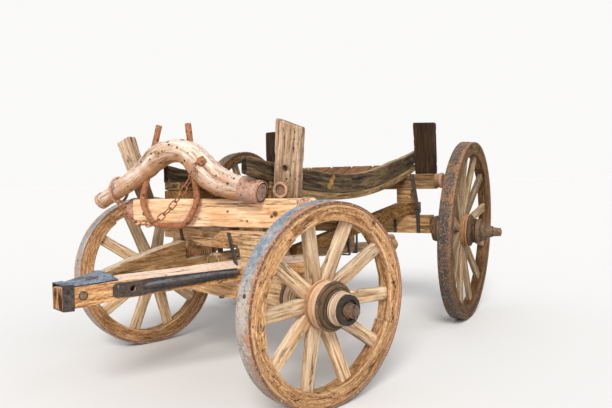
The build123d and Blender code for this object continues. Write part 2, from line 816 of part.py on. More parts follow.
seats = block(-half_rear - 1, half_rear + 1, -700, 700, rear_bolster_top - 60, rear_bolster_top)
seats = seats + block(packing_back - 1, bed_front + 1, -400, 400, bolster_top - 2, packing_top)
staves = []
for i in range(stave_count):
    rear_edge = side_lateral(bed_rear)
    front_edge = side_lateral(bed_front)
    low_share = -1 + 2 * i / stave_count
    high_share = -1 + 2 * (i + 1) / stave_count
    plan = Polygon(
        (bed_rear - 5, rear_edge * low_share + stave_gap / 2), (bed_front + 5, front_edge * low_share + stave_gap / 2),
        (bed_front + 5, front_edge * high_share - stave_gap / 2), (bed_rear - 5, rear_edge * high_share - stave_gap / 2),
        align=None,
    )
    column = Pos(0, 0, 600) * extrude(plan, amount=600, dir=(0, 0, 1))
    staves.append((bed_sheet & column) - seats)
nodes["bed_staves"] = solids_of(*staves)

# Edges of the side boards over the bed's underside. Columns: place along the wagon, rise of the
# bottom edge, rise of the top edge. The front end is cut on a slant.
side_table = [
    (side_rear, 49, 123), (wheelbase - 1221, 54, 146), (wheelbase - 941, 39, 137), (wheelbase - 701, 34, 133),
    (wheelbase - 461, 39, 138), (wheelbase - 211, 40, 135), (side_front, 24, side_end_rise),
]
side_lower = Spline(*[low_at(x, bottom) for x, bottom, top in side_table])
side_top = [low_at(x, top) for x, bottom, top in side_table[:-1]]
side_upper = Spline(*side_top, low_at(side_front - side_end_slant, side_end_rise))
side_face = make_face([
    side_lower, Line(side_lower @ 1, side_upper @ 1), side_upper, Line(side_upper @ 0, side_lower @ 0),
])
side_heading = math.degrees(math.atan((side_rear_lateral - side_front_lateral) / (side_front - side_rear)))
side_board = extrude(Plane.XZ * side_face, amount=side_board_thick, dir=(0, 1, 0))
side_board = Pos(side_rear, side_rear_lateral - side_board_thick, 0) * (
    Rot(0, 0, -side_heading) * (Pos(-side_rear, 0, 0) * side_board)
)
side_board = side_board - bed_sheet
nodes["side_board_left"] = side_board
nodes["side_board_right"] = mirrored(side_board) - block(
    wheelbase + far_side_overhang, side_front + 100, -600, 600, 700, 1200,
)

# Yoke: a bent branch, thick at the crown and the right end, thin at the left
yoke_forward = wheelbase + half_bolster + yoke_lean
left_end = (yoke_forward, -655, 787)
left_joint = (yoke_forward, -290, 972)
right_joint = (yoke_forward, -52, 968)
elbow = (yoke_forward, 112, 864)
right_end = (yoke_forward, 292, 828)


def unit(a, b):
    """Direction from one point to another."""
    return (Vector(*b) - Vector(*a)).normalized()


def swept(path, radius):
    """A round bar along a path."""
    start = Plane(origin=path @ 0, z_dir=path % 0)
    return sweep(start * Circle(radius), path=path)


yoke_path = FilletPolyline(left_joint, (yoke_forward, -165, 1042), right_joint, radius=150)
limb_left = rod(left_end, left_joint, left_end_radius, crown_radius)
crown = swept(yoke_path, crown_radius)
limb_right = rod(right_joint, elbow, crown_radius, elbow_radius)
limb_end = rod(elbow, right_end, elbow_radius, right_end_radius)
knee = Pos(*elbow) * Sphere(elbow_radius)
knot_left = Pos(*left_joint) * Sphere(crown_radius)
knot_right = Pos(*right_joint) * Sphere(crown_radius)
yoke = limb_left + crown + limb_right + limb_end + knee + knot_left + knot_right

# Bow: a round iron rod, both legs up through the yoke
bow_bottom = sand_board_top + bow_clear_of_board
bow_points = [
    (-262, 1146), (-384, 790), (-322, bow_bottom), (-122, bow_bottom), (-52, 790), (-94, 1146),
]
bow_path = FilletPolyline(*[(yoke_forward, y, z) for y, z in bow_points], radius=bow_corner)
bow = swept(bow_path, bow_radius)


def leg_hole(top, low):
    """The hole for one leg of the bow."""
    a = (yoke_forward, top[0], top[1])
    b = (yoke_forward, low[0], low[1])
    return rod(a, b, bow_radius + bow_clearance)


bolster_block = block(
    wheelbase - half_bolster, wheelbase + half_bolster, -front_bolster_far - far_end_length,
    front_bolster_near + near_end_length, bolster_bottom, bolster_top,
)
yoke = yoke - leg_hole(bow_points[0], bow_points[1]) - leg_hole(bow_points[5], bow_points[4]) - bolster_block
nodes["yoke_beam"] = yoke
pin_eye = rod((yoke_forward - 20, -95, 1128), (yoke_forward + 20, -95, 1128), 4)
nodes["yoke_bow"] = bow - pin_eye

# Yoke irons: ferrules at both ends, the ring on the left limb, the staple and the loose eye
left_dir = unit(left_end, left_joint)
right_dir = unit(right_end, elbow)


def band_on(start, direction, offset, length, radius0, radius1):
    """A conical hoop round a limb."""
    a = Vector(*start) + direction * offset
    b = Vector(*start) + direction * (offset + length)
    outer = rod(tuple(a), tuple(b), radius0 + 3, radius1 + 3)
    inner = rod(tuple(a), tuple(b), radius0, radius1)
    return outer - inner


left_length = (Vector(*left_joint) - Vector(*left_end)).length
left_grow = (crown_radius - left_end_radius) / left_length
right_length = (Vector(*elbow) - Vector(*right_end)).length
right_grow = (elbow_radius - right_end_radius) / right_length


def limb_band(start, direction, offset, length, end_radius, grow):
    """A hoop that fits a tapering limb at a distance from its end."""
    radius0 = end_radius + grow * offset + 0.1
    radius1 = end_radius + grow * (offset + length) + 0.1
    return band_on(start, direction, offset, length, radius0, radius1)


left_ferrule = limb_band(left_end, left_dir, 4, 26, left_end_radius, left_grow)
right_ferrule = limb_band(right_end, right_dir, 2, 96, right_end_radius, right_grow) - bolster_block
ring_place = Vector(*left_end) + left_dir * ring_offset
limb_half_height = (left_end_radius + left_grow * ring_offset) / math.sqrt(left_dir.X ** 2 + left_dir.Y ** 2)
ring_inner = limb_half_height + ring_play
ring_z = ring_place.Z + limb_half_height + ring_rest_gap - ring_inner
ring_major = ring_inner + ring_wire
limb_ring = Pos(yoke_forward, ring_place.Y, ring_z) * (Rot(90, 0, 0) * Torus(ring_major, ring_wire))
eye_place = Vector(yoke_forward + crown_radius + 13, -14, 946)
eye_major = 16
eye_wire = 5
eye = Pos(eye_place.X, eye_place.Y, eye_place.Z) * (Rot(90, 0, 0) * Torus(eye_major, eye_wire)) - yoke
loose_major = 30
loose_wire = 6.5
loose_eye = Pos(wheelbase + 40, 352, bolster_top + loose_major + loose_wire) * (
    Rot(0, 90, 0) * Torus(loose_major, loose_wire)
)
nodes["yoke_irons"] = solids_of(left_ferrule, right_ferrule, limb_ring, eye, loose_eye)

# Chain: links hooked to one another along a hanging curve, every other one turned a quarter
chain_start = Vector(yoke_forward, ring_place.Y, ring_z - ring_major)
chain_end = Vector(eye_place.X, eye_place.Y, eye_place.Z - eye_major)


chain_low = sand_board_top + chain_clear_of_board


def hanging_point(share):
    """A point on the chain: a parabola in the upright plane through its two ends, bowed forward."""
    root0 = math.sqrt(chain_start.Z - chain_low)
    root1 = math.sqrt(chain_end.Z - chain_low)
    u = -root0 + (root0 + root1) * share
    forward = chain_start.X + (chain_end.X - chain_start.X) * share + chain_bow_out * math.sin(math.pi * share)
    return Vector(forward, chain_start.Y + (chain_end.Y - chain_start.Y) * share, chain_low + u * u)


def walk(pitch):
    """Shares along the curve at steps of one pitch, one for each end of a link."""
    shares = [0.0]
    for _ in range(chain_links):
        here = hanging_point(shares[-1])
        low = shares[-1]
        high = shares[-1] + 0.3
        for _ in range(30):
            mid = (low + high) / 2
            if (hanging_point(mid) - here).length < pitch:
                low = mid
            else:
                high = mid
        shares.append(high)
    return shares


low_pitch = 20
high_pitch = 80
for _ in range(30):
    pitch = (low_pitch + high_pitch) / 2
    if walk(pitch)[-1] < 1:
        low_pitch = pitch
    else:
        high_pitch = pitch
joints = [hanging_point(share) for share in walk(pitch)]


def chain_link(a, b, upright):
    """One long link between two joints, as a stadium-shaped rod of square section."""
    along = (b - a).normalized()
    across = along.cross(Vector(1, 0, 0)).normalized()
    normal = along.cross(across) if upright else across
    plane = Plane(origin=(a + b) * 0.5, x_dir=along, z_dir=normal)
    reach = (b - a).length + 2 * chain_wire + chain_play - chain_link_width
    outer = SlotCenterToCenter(reach, chain_link_width)
    inner = SlotCenterToCenter(reach, chain_link_width - 2 * chain_wire)
    return plane * extrude(outer - inner, amount=chain_wire / 2, both=True)


first_way = (joints[1] - joints[0]).normalized()
last_way = (joints[-1] - joints[-2]).normalized()
joints[0] = joints[0] - first_way * (ring_wire + hook_gap - chain_play / 2)
joints[-1] = joints[-1] + last_way * (eye_wire + hook_gap - chain_play / 2)
links = []
for i in range(chain_links):
    links.append(chain_link(joints[i], joints[i + 1], i % 2 == 0))
nodes["yoke_chain"] = solids_of(*links)

# Move the whole so that the origin is on the ground under its middle, and write each node
boxes = [shape.bounding_box() for shape in nodes.values()]
low_x = min(box.min.X for box in boxes)
high_x = max(box.max.X for box in boxes)
low_y = min(box.min.Y for box in boxes)
high_y = max(box.max.Y for box in boxes)
shift = (-(low_x + high_x) / 2, -(low_y + high_y) / 2, 0)
print("shift", shift, "size", high_x - low_x, high_y - low_y, max(box.max.Z for box in boxes))
os.makedirs("parts", exist_ok=True)
for name, shape in nodes.items():
    moved = [Pos(*shift) * solid for solid in shape.solids()]
    export_step(moved[0] if len(moved) == 1 else Compound(moved), f"parts/{name}.step")
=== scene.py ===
"""Looks of a small four-wheeled farm wagon with its yoke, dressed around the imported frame.

Wheels, bolster, stakes, bed, reach, yoke, bow and chain are surfaces worked out as whole arrays: a
section carried along a line, or a profile turned about an axle. The squared timbers and most irons
of the axles and the fore-carriage are copies of the frame's own skins with worn edges. Millimetres
are used while a surface is worked out, in the wagon's, the fore-carriage's or a wheel's own frame,
and metres in the mesh.
"""

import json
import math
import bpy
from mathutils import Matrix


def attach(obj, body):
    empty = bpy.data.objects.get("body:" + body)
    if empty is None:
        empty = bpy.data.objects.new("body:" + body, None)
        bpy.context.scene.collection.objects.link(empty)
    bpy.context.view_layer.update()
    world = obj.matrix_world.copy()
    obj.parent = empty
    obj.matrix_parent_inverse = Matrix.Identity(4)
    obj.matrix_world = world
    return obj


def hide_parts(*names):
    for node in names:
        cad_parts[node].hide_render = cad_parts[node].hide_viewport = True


bl_info = {
    "name": "Farm wagon looks",
    "version": (1, 0, 0),
    "blender": (4, 5, 0),
    "location": "3D View > Sidebar > Wagon",
    "description": "Builds the timber, irons and finishes of a farm wagon around its fixed frame",
    "category": "Object",
}

import bmesh
import bpy
import numpy as np
from bpy.props import FloatProperty, FloatVectorProperty, PointerProperty
from mathutils import Matrix

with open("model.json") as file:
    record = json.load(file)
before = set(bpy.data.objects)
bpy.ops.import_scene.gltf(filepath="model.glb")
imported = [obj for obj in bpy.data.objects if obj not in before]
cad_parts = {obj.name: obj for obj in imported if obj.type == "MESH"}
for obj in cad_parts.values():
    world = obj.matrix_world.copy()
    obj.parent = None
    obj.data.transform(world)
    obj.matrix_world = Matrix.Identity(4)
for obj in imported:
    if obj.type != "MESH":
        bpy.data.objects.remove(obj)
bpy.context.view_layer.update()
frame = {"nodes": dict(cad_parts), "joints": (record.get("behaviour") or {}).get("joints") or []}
NODES = frame["nodes"]
JOINTS = {joint["name"]: joint for joint in frame["joints"]}
MM = 0.001

PIN_X = JOINTS["steer"]["pos_m"][0]
REAR_X = JOINTS["rear_left_roll"]["pos_m"][0]
FRONT_AXIS = JOINTS["front_left_roll"]["axis"]
STEER = math.atan2(-FRONT_AXIS[0], FRONT_AXIS[1])
CAMBER = math.asin(-FRONT_AXIS[2])
CONE = math.tan(CAMBER)
WHEELBASE = (PIN_X - REAR_X) / MM
BOLSTER_HALF = 60
BOLSTER_BOTTOM = 670
BOLSTER_TOP = 800
BOLSTER_FRONT = WHEELBASE + BOLSTER_HALF
YOKE_X = BOLSTER_FRONT + 34
# A drawbar arm's middle line: left of the wagon's middle at the pin and at the nose, and its length
ARM_START = 205
ARM_NOSE = 16
ARM_LONG = 755
ARM_HALF = 33
ARM_SLOPE = (ARM_START - ARM_NOSE) / ARM_LONG
ARM_TURN = math.atan(ARM_SLOPE)


# Places: from the wagon's frame and the fore-carriage's frame to the row frame

def wagon_place(points):
    """Millimetres forward of the rear axle, left and up, to metres in the row frame."""
    return np.asarray(points, float) * MM + np.array([REAR_X, 0.0, 0.0])


def carriage_place(points):
    """Millimetres forward of the king pin, left and up, turned to the steering angle."""
    points = np.asarray(points, float) * MM
    x = points[..., 0] * math.cos(STEER) - points[..., 1] * math.sin(STEER) + PIN_X
    y = points[..., 0] * math.sin(STEER) + points[..., 1] * math.cos(STEER)
    return np.stack([x, y, points[..., 2]], axis=-1)


def reordered(place, order, offset=(0, 0, 0)):
    """A place for points whose coordinates come in another order and start elsewhere."""
    return lambda points: place(points[..., list(order)] + np.array(offset, float))


def spun(place, turn):
    """A place on a wheel (forward, outboard, up) turned forward about the axle."""
    def at(points):
        x, out, r = points[..., 0], points[..., 1], points[..., 2]
        return place(np.stack([r * math.sin(turn) + x * math.cos(turn), out,
                               r * math.cos(turn) - x * math.sin(turn)], -1))

    return at


# Surfaces

def unit(vectors):
    """The vectors' directions, with length one."""
    return vectors / np.linalg.norm(vectors, axis=-1, keepdims=True)


def lengths(points):
    """The length run along a line at each of its points, from 0."""
    return np.concatenate([[0], np.cumsum(np.linalg.norm(np.diff(points, axis=0), axis=1))])


def closed(points):
    """A line that comes back to its first point."""
    return np.concatenate([points, points[:1]])


def circle(count):
    """Angles evenly round a full turn, the last one short of the first."""
    return np.linspace(0, 2 * math.pi, count, endpoint=False)


def turned(along, radius, turn):
    """Points of (along the axle, radius) at an angle forward from the top."""
    return np.stack(np.broadcast_arrays(radius * np.sin(turn), along, radius * np.cos(turn)), axis=-1)


def corner_rows(*corners):
    """Rows of a section's corners from one (across, up) for each, numbers or rows of numbers."""
    flat = np.broadcast_arrays(*[value for corner in corners for value in corner])
    return np.stack(flat, -1).reshape(len(flat[0]), len(corners), 2)


def waviness(a, b, seed, scale):
    """Smooth unevenness, mostly from -1 to 1: seven sine waves of both parameters, with chance
    slopes and starts, added up and divided by half their number."""
    draw = np.random.RandomState(seed)
    waves = 7
    slope = 1.2 / scale
    total = 0.0
    for _ in range(waves):
        total = total + np.sin(draw.normal(0, slope) * a + draw.normal(0, slope) * b
                               + draw.uniform(0, 2 * math.pi))
    return total / (waves / 2)


def chips(a, b, seed, scale):
    """Where an edge is chipped, from 0 to 1: the square of the part of a wave that is over zero."""
    return np.clip(waviness(a, b, seed, scale), 0, 1) ** 2


def rounded(corners, radius, side, arc=4):
    """Rows of closed outlines from rows of corners: each corner becomes a parabola arc that starts
    and ends one radius from it, and each side gets points in between. Also how near to a corner
    each point is, from 0 to 1."""
    corners = np.asarray(corners, float)
    before = np.roll(corners, 1, axis=-2) - corners
    after = np.roll(corners, -1, axis=-2) - corners
    long_before = np.linalg.norm(before, axis=-1, keepdims=True)
    long_after = np.linalg.norm(after, axis=-1, keepdims=True)
    start = corners + before / long_before * np.minimum(radius, 0.45 * long_before)
    end = corners + after / long_after * np.minimum(radius, 0.45 * long_after)
    points, near = [], []
    for k in range(corners.shape[-2]):
        a, c, b = start[..., k, :], corners[..., k, :], end[..., k, :]
        follower = start[..., (k + 1) % corners.shape[-2], :]
        for t in np.linspace(0, 1, arc + 1):
            points.append((1 - t) ** 2 * a + 2 * t * (1 - t) * c + t * t * b)
            near.append(1 - abs(2 * t - 1) * 0.6)
        for t in np.linspace(0, 1, side + 1)[1:-1]:
            points.append(b + (follower - b) * t)
            near.append(0.0)
    return np.stack(points, axis=-2), np.array(near)


class Shell:
    """One closed skin: points, faces, a UV for every face corner, and marks for the finish."""

    def __init__(self, points, quads, quad_uv, tris, tri_uv, near):
        self.points = points
        self.quads = quads
        self.quad_uv = quad_uv
        self.tris = tris
        self.tri_uv = tri_uv
        self.near = near
        self.part = 0.5

    def turned_out(self):
        """The same skin with its faces outwards: the signed volume of its faces tells the way."""
        p = self.points
        q, t = self.quads, self.tris
        volume = np.einsum("ij,ij->", p[q[:, 0]], np.cross(p[q[:, 1]], p[q[:, 2]]))
        volume += np.einsum("ij,ij->", p[q[:, 0]], np.cross(p[q[:, 2]], p[q[:, 3]]))
        if len(t):
            volume += np.einsum("ij,ij->", p[t[:, 0]], np.cross(p[t[:, 1]], p[t[:, 2]]))
        if volume < 0:
            self.quads = q[:, ::-1]
            self.quad_uv = self.quad_uv[:, ::-1]
            if len(t):
                self.tris = t[:, ::-1]
                self.tri_uv = self.tri_uv[:, ::-1]
        return self


def skin(rings, near=None, ring_loop=False):
    """A skin over rows of closed rings, with U the length along it and V the way round it. Open
    ends are closed by rings that shrink to the end's middle. A ring loop joins its last row to
    its first."""
    rows, cols = rings.shape[:2]
    if near is None:
        near = np.zeros(cols)
    along = lengths(closed(rings[:, 0]) if ring_loop else rings.mean(axis=1))
    around = lengths(closed(rings[0]))
    points = rings.reshape(-1, 3)
    index = np.arange(rows * cols).reshape(rows, cols)
    low = index if ring_loop else index[:-1]
    high = np.roll(index, -1, axis=0) if ring_loop else index[1:]
    quads = np.stack([low, np.roll(low, -1, 1), np.roll(high, -1, 1), high], axis=-1).reshape(-1, 4)
    r, c = np.meshgrid(np.arange(low.shape[0]), np.arange(cols), indexing="ij")
    uv = np.stack([
        np.stack([along[r], around[c]], -1), np.stack([along[r], around[c + 1]], -1),
        np.stack([along[r + 1], around[c + 1]], -1), np.stack([along[r + 1], around[c]], -1),
    ], axis=-2).reshape(-1, 4, 2)
    near_all = np.tile(near, rows)
    if ring_loop:
        return Shell(points, quads, uv, np.zeros((0, 3), int), np.zeros((0, 3, 2)), near_all).turned_out()
    tris, tri_uv, quad_list, uv_list = [], [], [quads], [uv]
    for ring, flip in ((index[0], True), (index[-1], False)):
        edge = points[ring]
        middle = edge.mean(axis=0)
        flat_x = edge[0] - middle
        flat_x = flat_x / (np.linalg.norm(flat_x) + 1e-12)
        normal = np.cross(flat_x, edge[cols // 4] - middle)
        normal = normal / (np.linalg.norm(normal) + 1e-12)
        flat_y = np.cross(normal, flat_x)
        last = ring
        for shrink in (0.6, 0.25):
            inner = middle + (edge - middle) * shrink
            fresh = np.arange(len(points), len(points) + cols)
            points = np.concatenate([points, inner])
            near_all = np.concatenate([near_all, np.full(cols, -1.0)])
            band = np.stack([last, np.roll(last, -1), np.roll(fresh, -1), fresh], axis=-1)
            quad_list.append(band[:, ::-1] if flip else band)
            last = fresh
            offset = points[quad_list[-1]] - middle
            uv_list.append(np.stack([offset @ flat_x, offset @ flat_y], -1))
        centre = len(points)
        points = np.concatenate([points, middle[None]])
        near_all = np.append(near_all, -1.0)
        fan = np.stack([last, np.roll(last, -1), np.full(cols, centre)], axis=-1)
        fan = fan[:, ::-1] if flip else fan
        tris.append(fan)
        offset = points[fan] - middle
        tri_uv.append(np.stack([offset @ flat_x, offset @ flat_y], -1))
    return Shell(points, np.concatenate(quad_list), np.concatenate(uv_list),
                 np.concatenate(tris), np.concatenate(tri_uv), near_all).turned_out()


def make_piece(name, shells, finish, stands_for=(), body="chassis", sharp=38.0):
    """One object from one or more skins, riding on a body. Attributes carry how near each point is
    to a worn edge, a chance number for each skin, and which points lie on a sawn end."""
    points = np.concatenate([s.points for s in shells])
    starts = np.cumsum([0] + [len(s.points) for s in shells[:-1]])
    quads = np.concatenate([s.quads + k for s, k in zip(shells, starts)])
    tris = np.concatenate([s.tris + k for s, k in zip(shells, starts)]).astype(int)
    uv = np.concatenate([np.concatenate([s.quad_uv.reshape(-1, 2) for s in shells]),
                         np.concatenate([s.tri_uv.reshape(-1, 2) for s in shells])])
    near = np.concatenate([s.near for s in shells])
    part = np.concatenate([np.full(len(s.points), s.part) for s in shells])
    mesh = bpy.data.meshes.new(name)
    mesh.vertices.add(len(points))
    mesh.vertices.foreach_set("co", points.astype(np.float32).ravel())
    loops = np.concatenate([quads.ravel(), tris.ravel()])
    mesh.loops.add(len(loops))
    mesh.loops.foreach_set("vertex_index", loops.astype(np.int32))
    mesh.polygons.add(len(quads) + len(tris))
    loop_starts = np.concatenate([np.arange(len(quads)) * 4, len(quads) * 4 + np.arange(len(tris)) * 3])
    mesh.polygons.foreach_set("loop_start", loop_starts.astype(np.int32))
    mesh.uv_layers.new(name="Grain").uv.foreach_set("vector", uv.astype(np.float32).ravel())
    for label, values in (("edge", np.clip(near, 0, 1)), ("part", part), ("sawn", (near < 0).astype(float))):
        mesh.attributes.new(label, "FLOAT", "POINT").data.foreach_set("value", values.astype(np.float32))
    mesh.update(calc_edges=True)
    mesh.validate()
    mesh.shade_smooth()
    mesh.set_sharp_from_angle(angle=math.radians(sharp))
    piece = bpy.data.objects.new(name, mesh)
    bpy.context.scene.collection.objects.link(piece)
    mesh.materials.append(FINISH[finish])
    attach(piece, body)
    if stands_for:
        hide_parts(*stands_for)
    return piece


def bevelled_places(length, bevel, rows):
    """Places along a piece: even rows, with a few more near each end for its worn bevel, and how
    far the section is drawn in at each."""
    inner = np.linspace(bevel, length - bevel, rows)
    places = np.concatenate([[0, bevel * 0.25], inner, [length - bevel * 0.25, length]])
    drawn = np.concatenate([[bevel * 0.8, bevel * 0.3], np.zeros(rows), [bevel * 0.3, bevel * 0.8]])
    return places, drawn


def worn_beam(place, stations, corners, round_to, seed, rows, wear, wave, bevel=4.0, part=None, side=3):
    """A timber whose section changes along it. Corners at given stations are joined by straight
    lines, rounded, drawn in at both ends, pushed in where an edge is worn by the square of a wave,
    and moved by a gentle wave everywhere. place turns (station, across, up) into metres."""
    stations = np.asarray(stations, float)
    corners = np.asarray(corners, float)
    length = stations[-1] - stations[0]
    places, drawn = bevelled_places(abs(length), bevel, rows)
    at = stations[0] + places * np.sign(length)
    order = np.argsort(stations)
    table = np.stack([
        np.stack([np.interp(at, stations[order], corners[order, k, axis]) for axis in (0, 1)], -1)
        for k in range(corners.shape[1])
    ], axis=1)
    section, near = rounded(table, round_to, side)
    middle = section.mean(axis=1, keepdims=True)
    outward = section - middle
    reach = np.linalg.norm(outward, axis=-1, keepdims=True)
    angle = np.arctan2(outward[..., 1], outward[..., 0])
    run = np.broadcast_to(at[:, None], angle.shape)
    chip = chips(run, angle * 40, seed, 26) * near
    push = -wear * 1.6 * chip - wave * 0.5 * (1 + waviness(run, angle * 60, seed + 1, 120)) * 0.6
    push = push - drawn[:, None]
    section = section + outward / reach * push[..., None]
    rings = np.concatenate([run[..., None], section], axis=-1)
    made = skin(place(rings), near)
    draw = np.random.RandomState(seed + 7)
    made.part = draw.uniform(0.1, 0.9) if part is None else part
    return made


def turned_ring(place, corners, round_to, seed, around=72, wear=0.6, wave=0.6, part=None, side=3):
    """A closed section of (along the axle, radius) turned about the axle, its edges rounded and
    worn, and its radius moved by a gentle wave round the axle."""
    section, near = rounded(np.asarray(corners, float), round_to, side, 3)
    t, k = np.meshgrid(circle(around), np.arange(len(section)), indexing="ij")
    radius = section[k, 1]
    worn = wear * near[k] * chips(t * 60, k * 3.0, seed, 18)
    sunk = wave * 0.25 * (1 + waviness(np.cos(t) * 60, np.sin(t) * 60, seed + 3, 50))
    radius = radius - worn * np.sign(radius - radius.mean()) - sunk
    made = skin(place(turned(section[k, 0], radius, t)), near, ring_loop=True)
    made.part = np.random.RandomState(seed).uniform(0.2, 0.8) if part is None else part
    return made


def turned_plug(place, profile, around):
    """A solid turned piece from (along the axle, radius) points, closed at both ends."""
    profile = np.asarray(profile, float)
    return skin(place(turned(profile[:, :1], profile[:, 1:], circle(around))))


def smooth_line(points, count):
    """A smooth line through points, as Catmull-Rom arcs sampled evenly in their parameter."""
    points = np.asarray(points, float)
    ends = np.vstack([2 * points[0] - points[1], points, 2 * points[-1] - points[-2]])
    t = np.linspace(0, len(points) - 1 - 1e-9, count)
    k = t.astype(int)
    s = (t - k)[:, None]
    a, b, c, d = ends[k], ends[k + 1], ends[k + 2], ends[k + 3]
    return 0.5 * (2 * b + (c - a) * s + (2 * a - 5 * b + 4 * c - d) * s ** 2
                  + (3 * b - a - 3 * c + d) * s ** 3)


def limb(place, line, radii, seed, around, wave=0.0, lumps=0.0, side_on=(1, 0, 0), loop=False, part=0.5,
         tall=1.0):
    """A round bar along a line: circles square to the line, their radius given along it and moved
    by waves. side_on is a direction that is never along the line, for the circles' own axes, and
    tall stretches the circles square to it."""
    line = np.asarray(line, float)
    forward = unit(np.roll(line, -1, 0) - np.roll(line, 1, 0) if loop else np.gradient(line, axis=0))
    across = unit(np.cross(forward, np.asarray(side_on, float)))
    up = np.cross(across, forward)
    radii = np.interp(np.linspace(0, 1, len(line)), np.linspace(0, 1, len(radii)), radii)
    s, t = np.meshgrid(lengths(line), circle(around), indexing="ij")
    size = radii[:, None] + wave * waviness(s, np.sin(t) * 40 + np.cos(t) * 30, seed, 70)
    size = size + lumps * waviness(s, np.sin(t) * 40 + np.cos(t) * 55, seed + 5, 22)
    if not loop:
        size[[0, -1]] *= 0.93
    stretch = np.broadcast_to(np.asarray(tall, float).reshape(-1, 1), size.shape)
    rings = (line[:, None] + across[:, None] * (size * stretch * np.cos(t))[..., None]
             + up[:, None] * (size * np.sin(t))[..., None])
    made = skin(place(rings), ring_loop=loop)
    made.part = part
    return made


def lump(place, middle, reach, radius, end, span, count, seed, **more):
    """A rounded lump on a timber: a short bar along the wagon whose radius follows a half wave, from
    one angle of it to another, and closes to a small end."""
    line = [(middle[0] + reach * math.cos(t), *middle[1:]) for t in np.linspace(0, math.pi, count + 2)]
    radii = [end] + [radius * math.sin(t) for t in np.linspace(*span, count)] + [end]
    return limb(place, line, radii, seed, side_on=(0, 1, 0), **more)


def dress_nodes(rows, body="chassis"):
    """Copies of CAD nodes, from rows of slot, finish, bevel and nodes, of which the slot is not used:
    each node's own skin, merged, freed of its flat triangles' edges and given worn bevels."""
    for slot, finish, width, *nodes in rows:
        for node in nodes:
            mesh = NODES[node].data.copy()
            mesh.name = node + "_worn"
            mesh.materials.clear()
            mesh.materials.append(FINISH[finish])
            work = bmesh.new()
            work.from_mesh(mesh)
            bmesh.ops.remove_doubles(work, verts=work.verts, dist=1e-5)
            bmesh.ops.dissolve_limit(work, angle_limit=math.radians(1.0), verts=work.verts, edges=work.edges)
            work.to_mesh(mesh)
            work.free()
            mesh.shade_smooth()
            mesh.set_sharp_from_angle(angle=math.radians(32))
            piece = bpy.data.objects.new(node + "_worn", mesh)
            bpy.context.scene.collection.objects.link(piece)
            soften = piece.modifiers.new("worn edges", "BEVEL")
            soften.width = width
            soften.segments = 2
            soften.limit_method = "ANGLE"
            soften.angle_limit = math.radians(32)
            soften.harden_normals = True
            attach(piece, body)
            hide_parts(node)


# Finishes

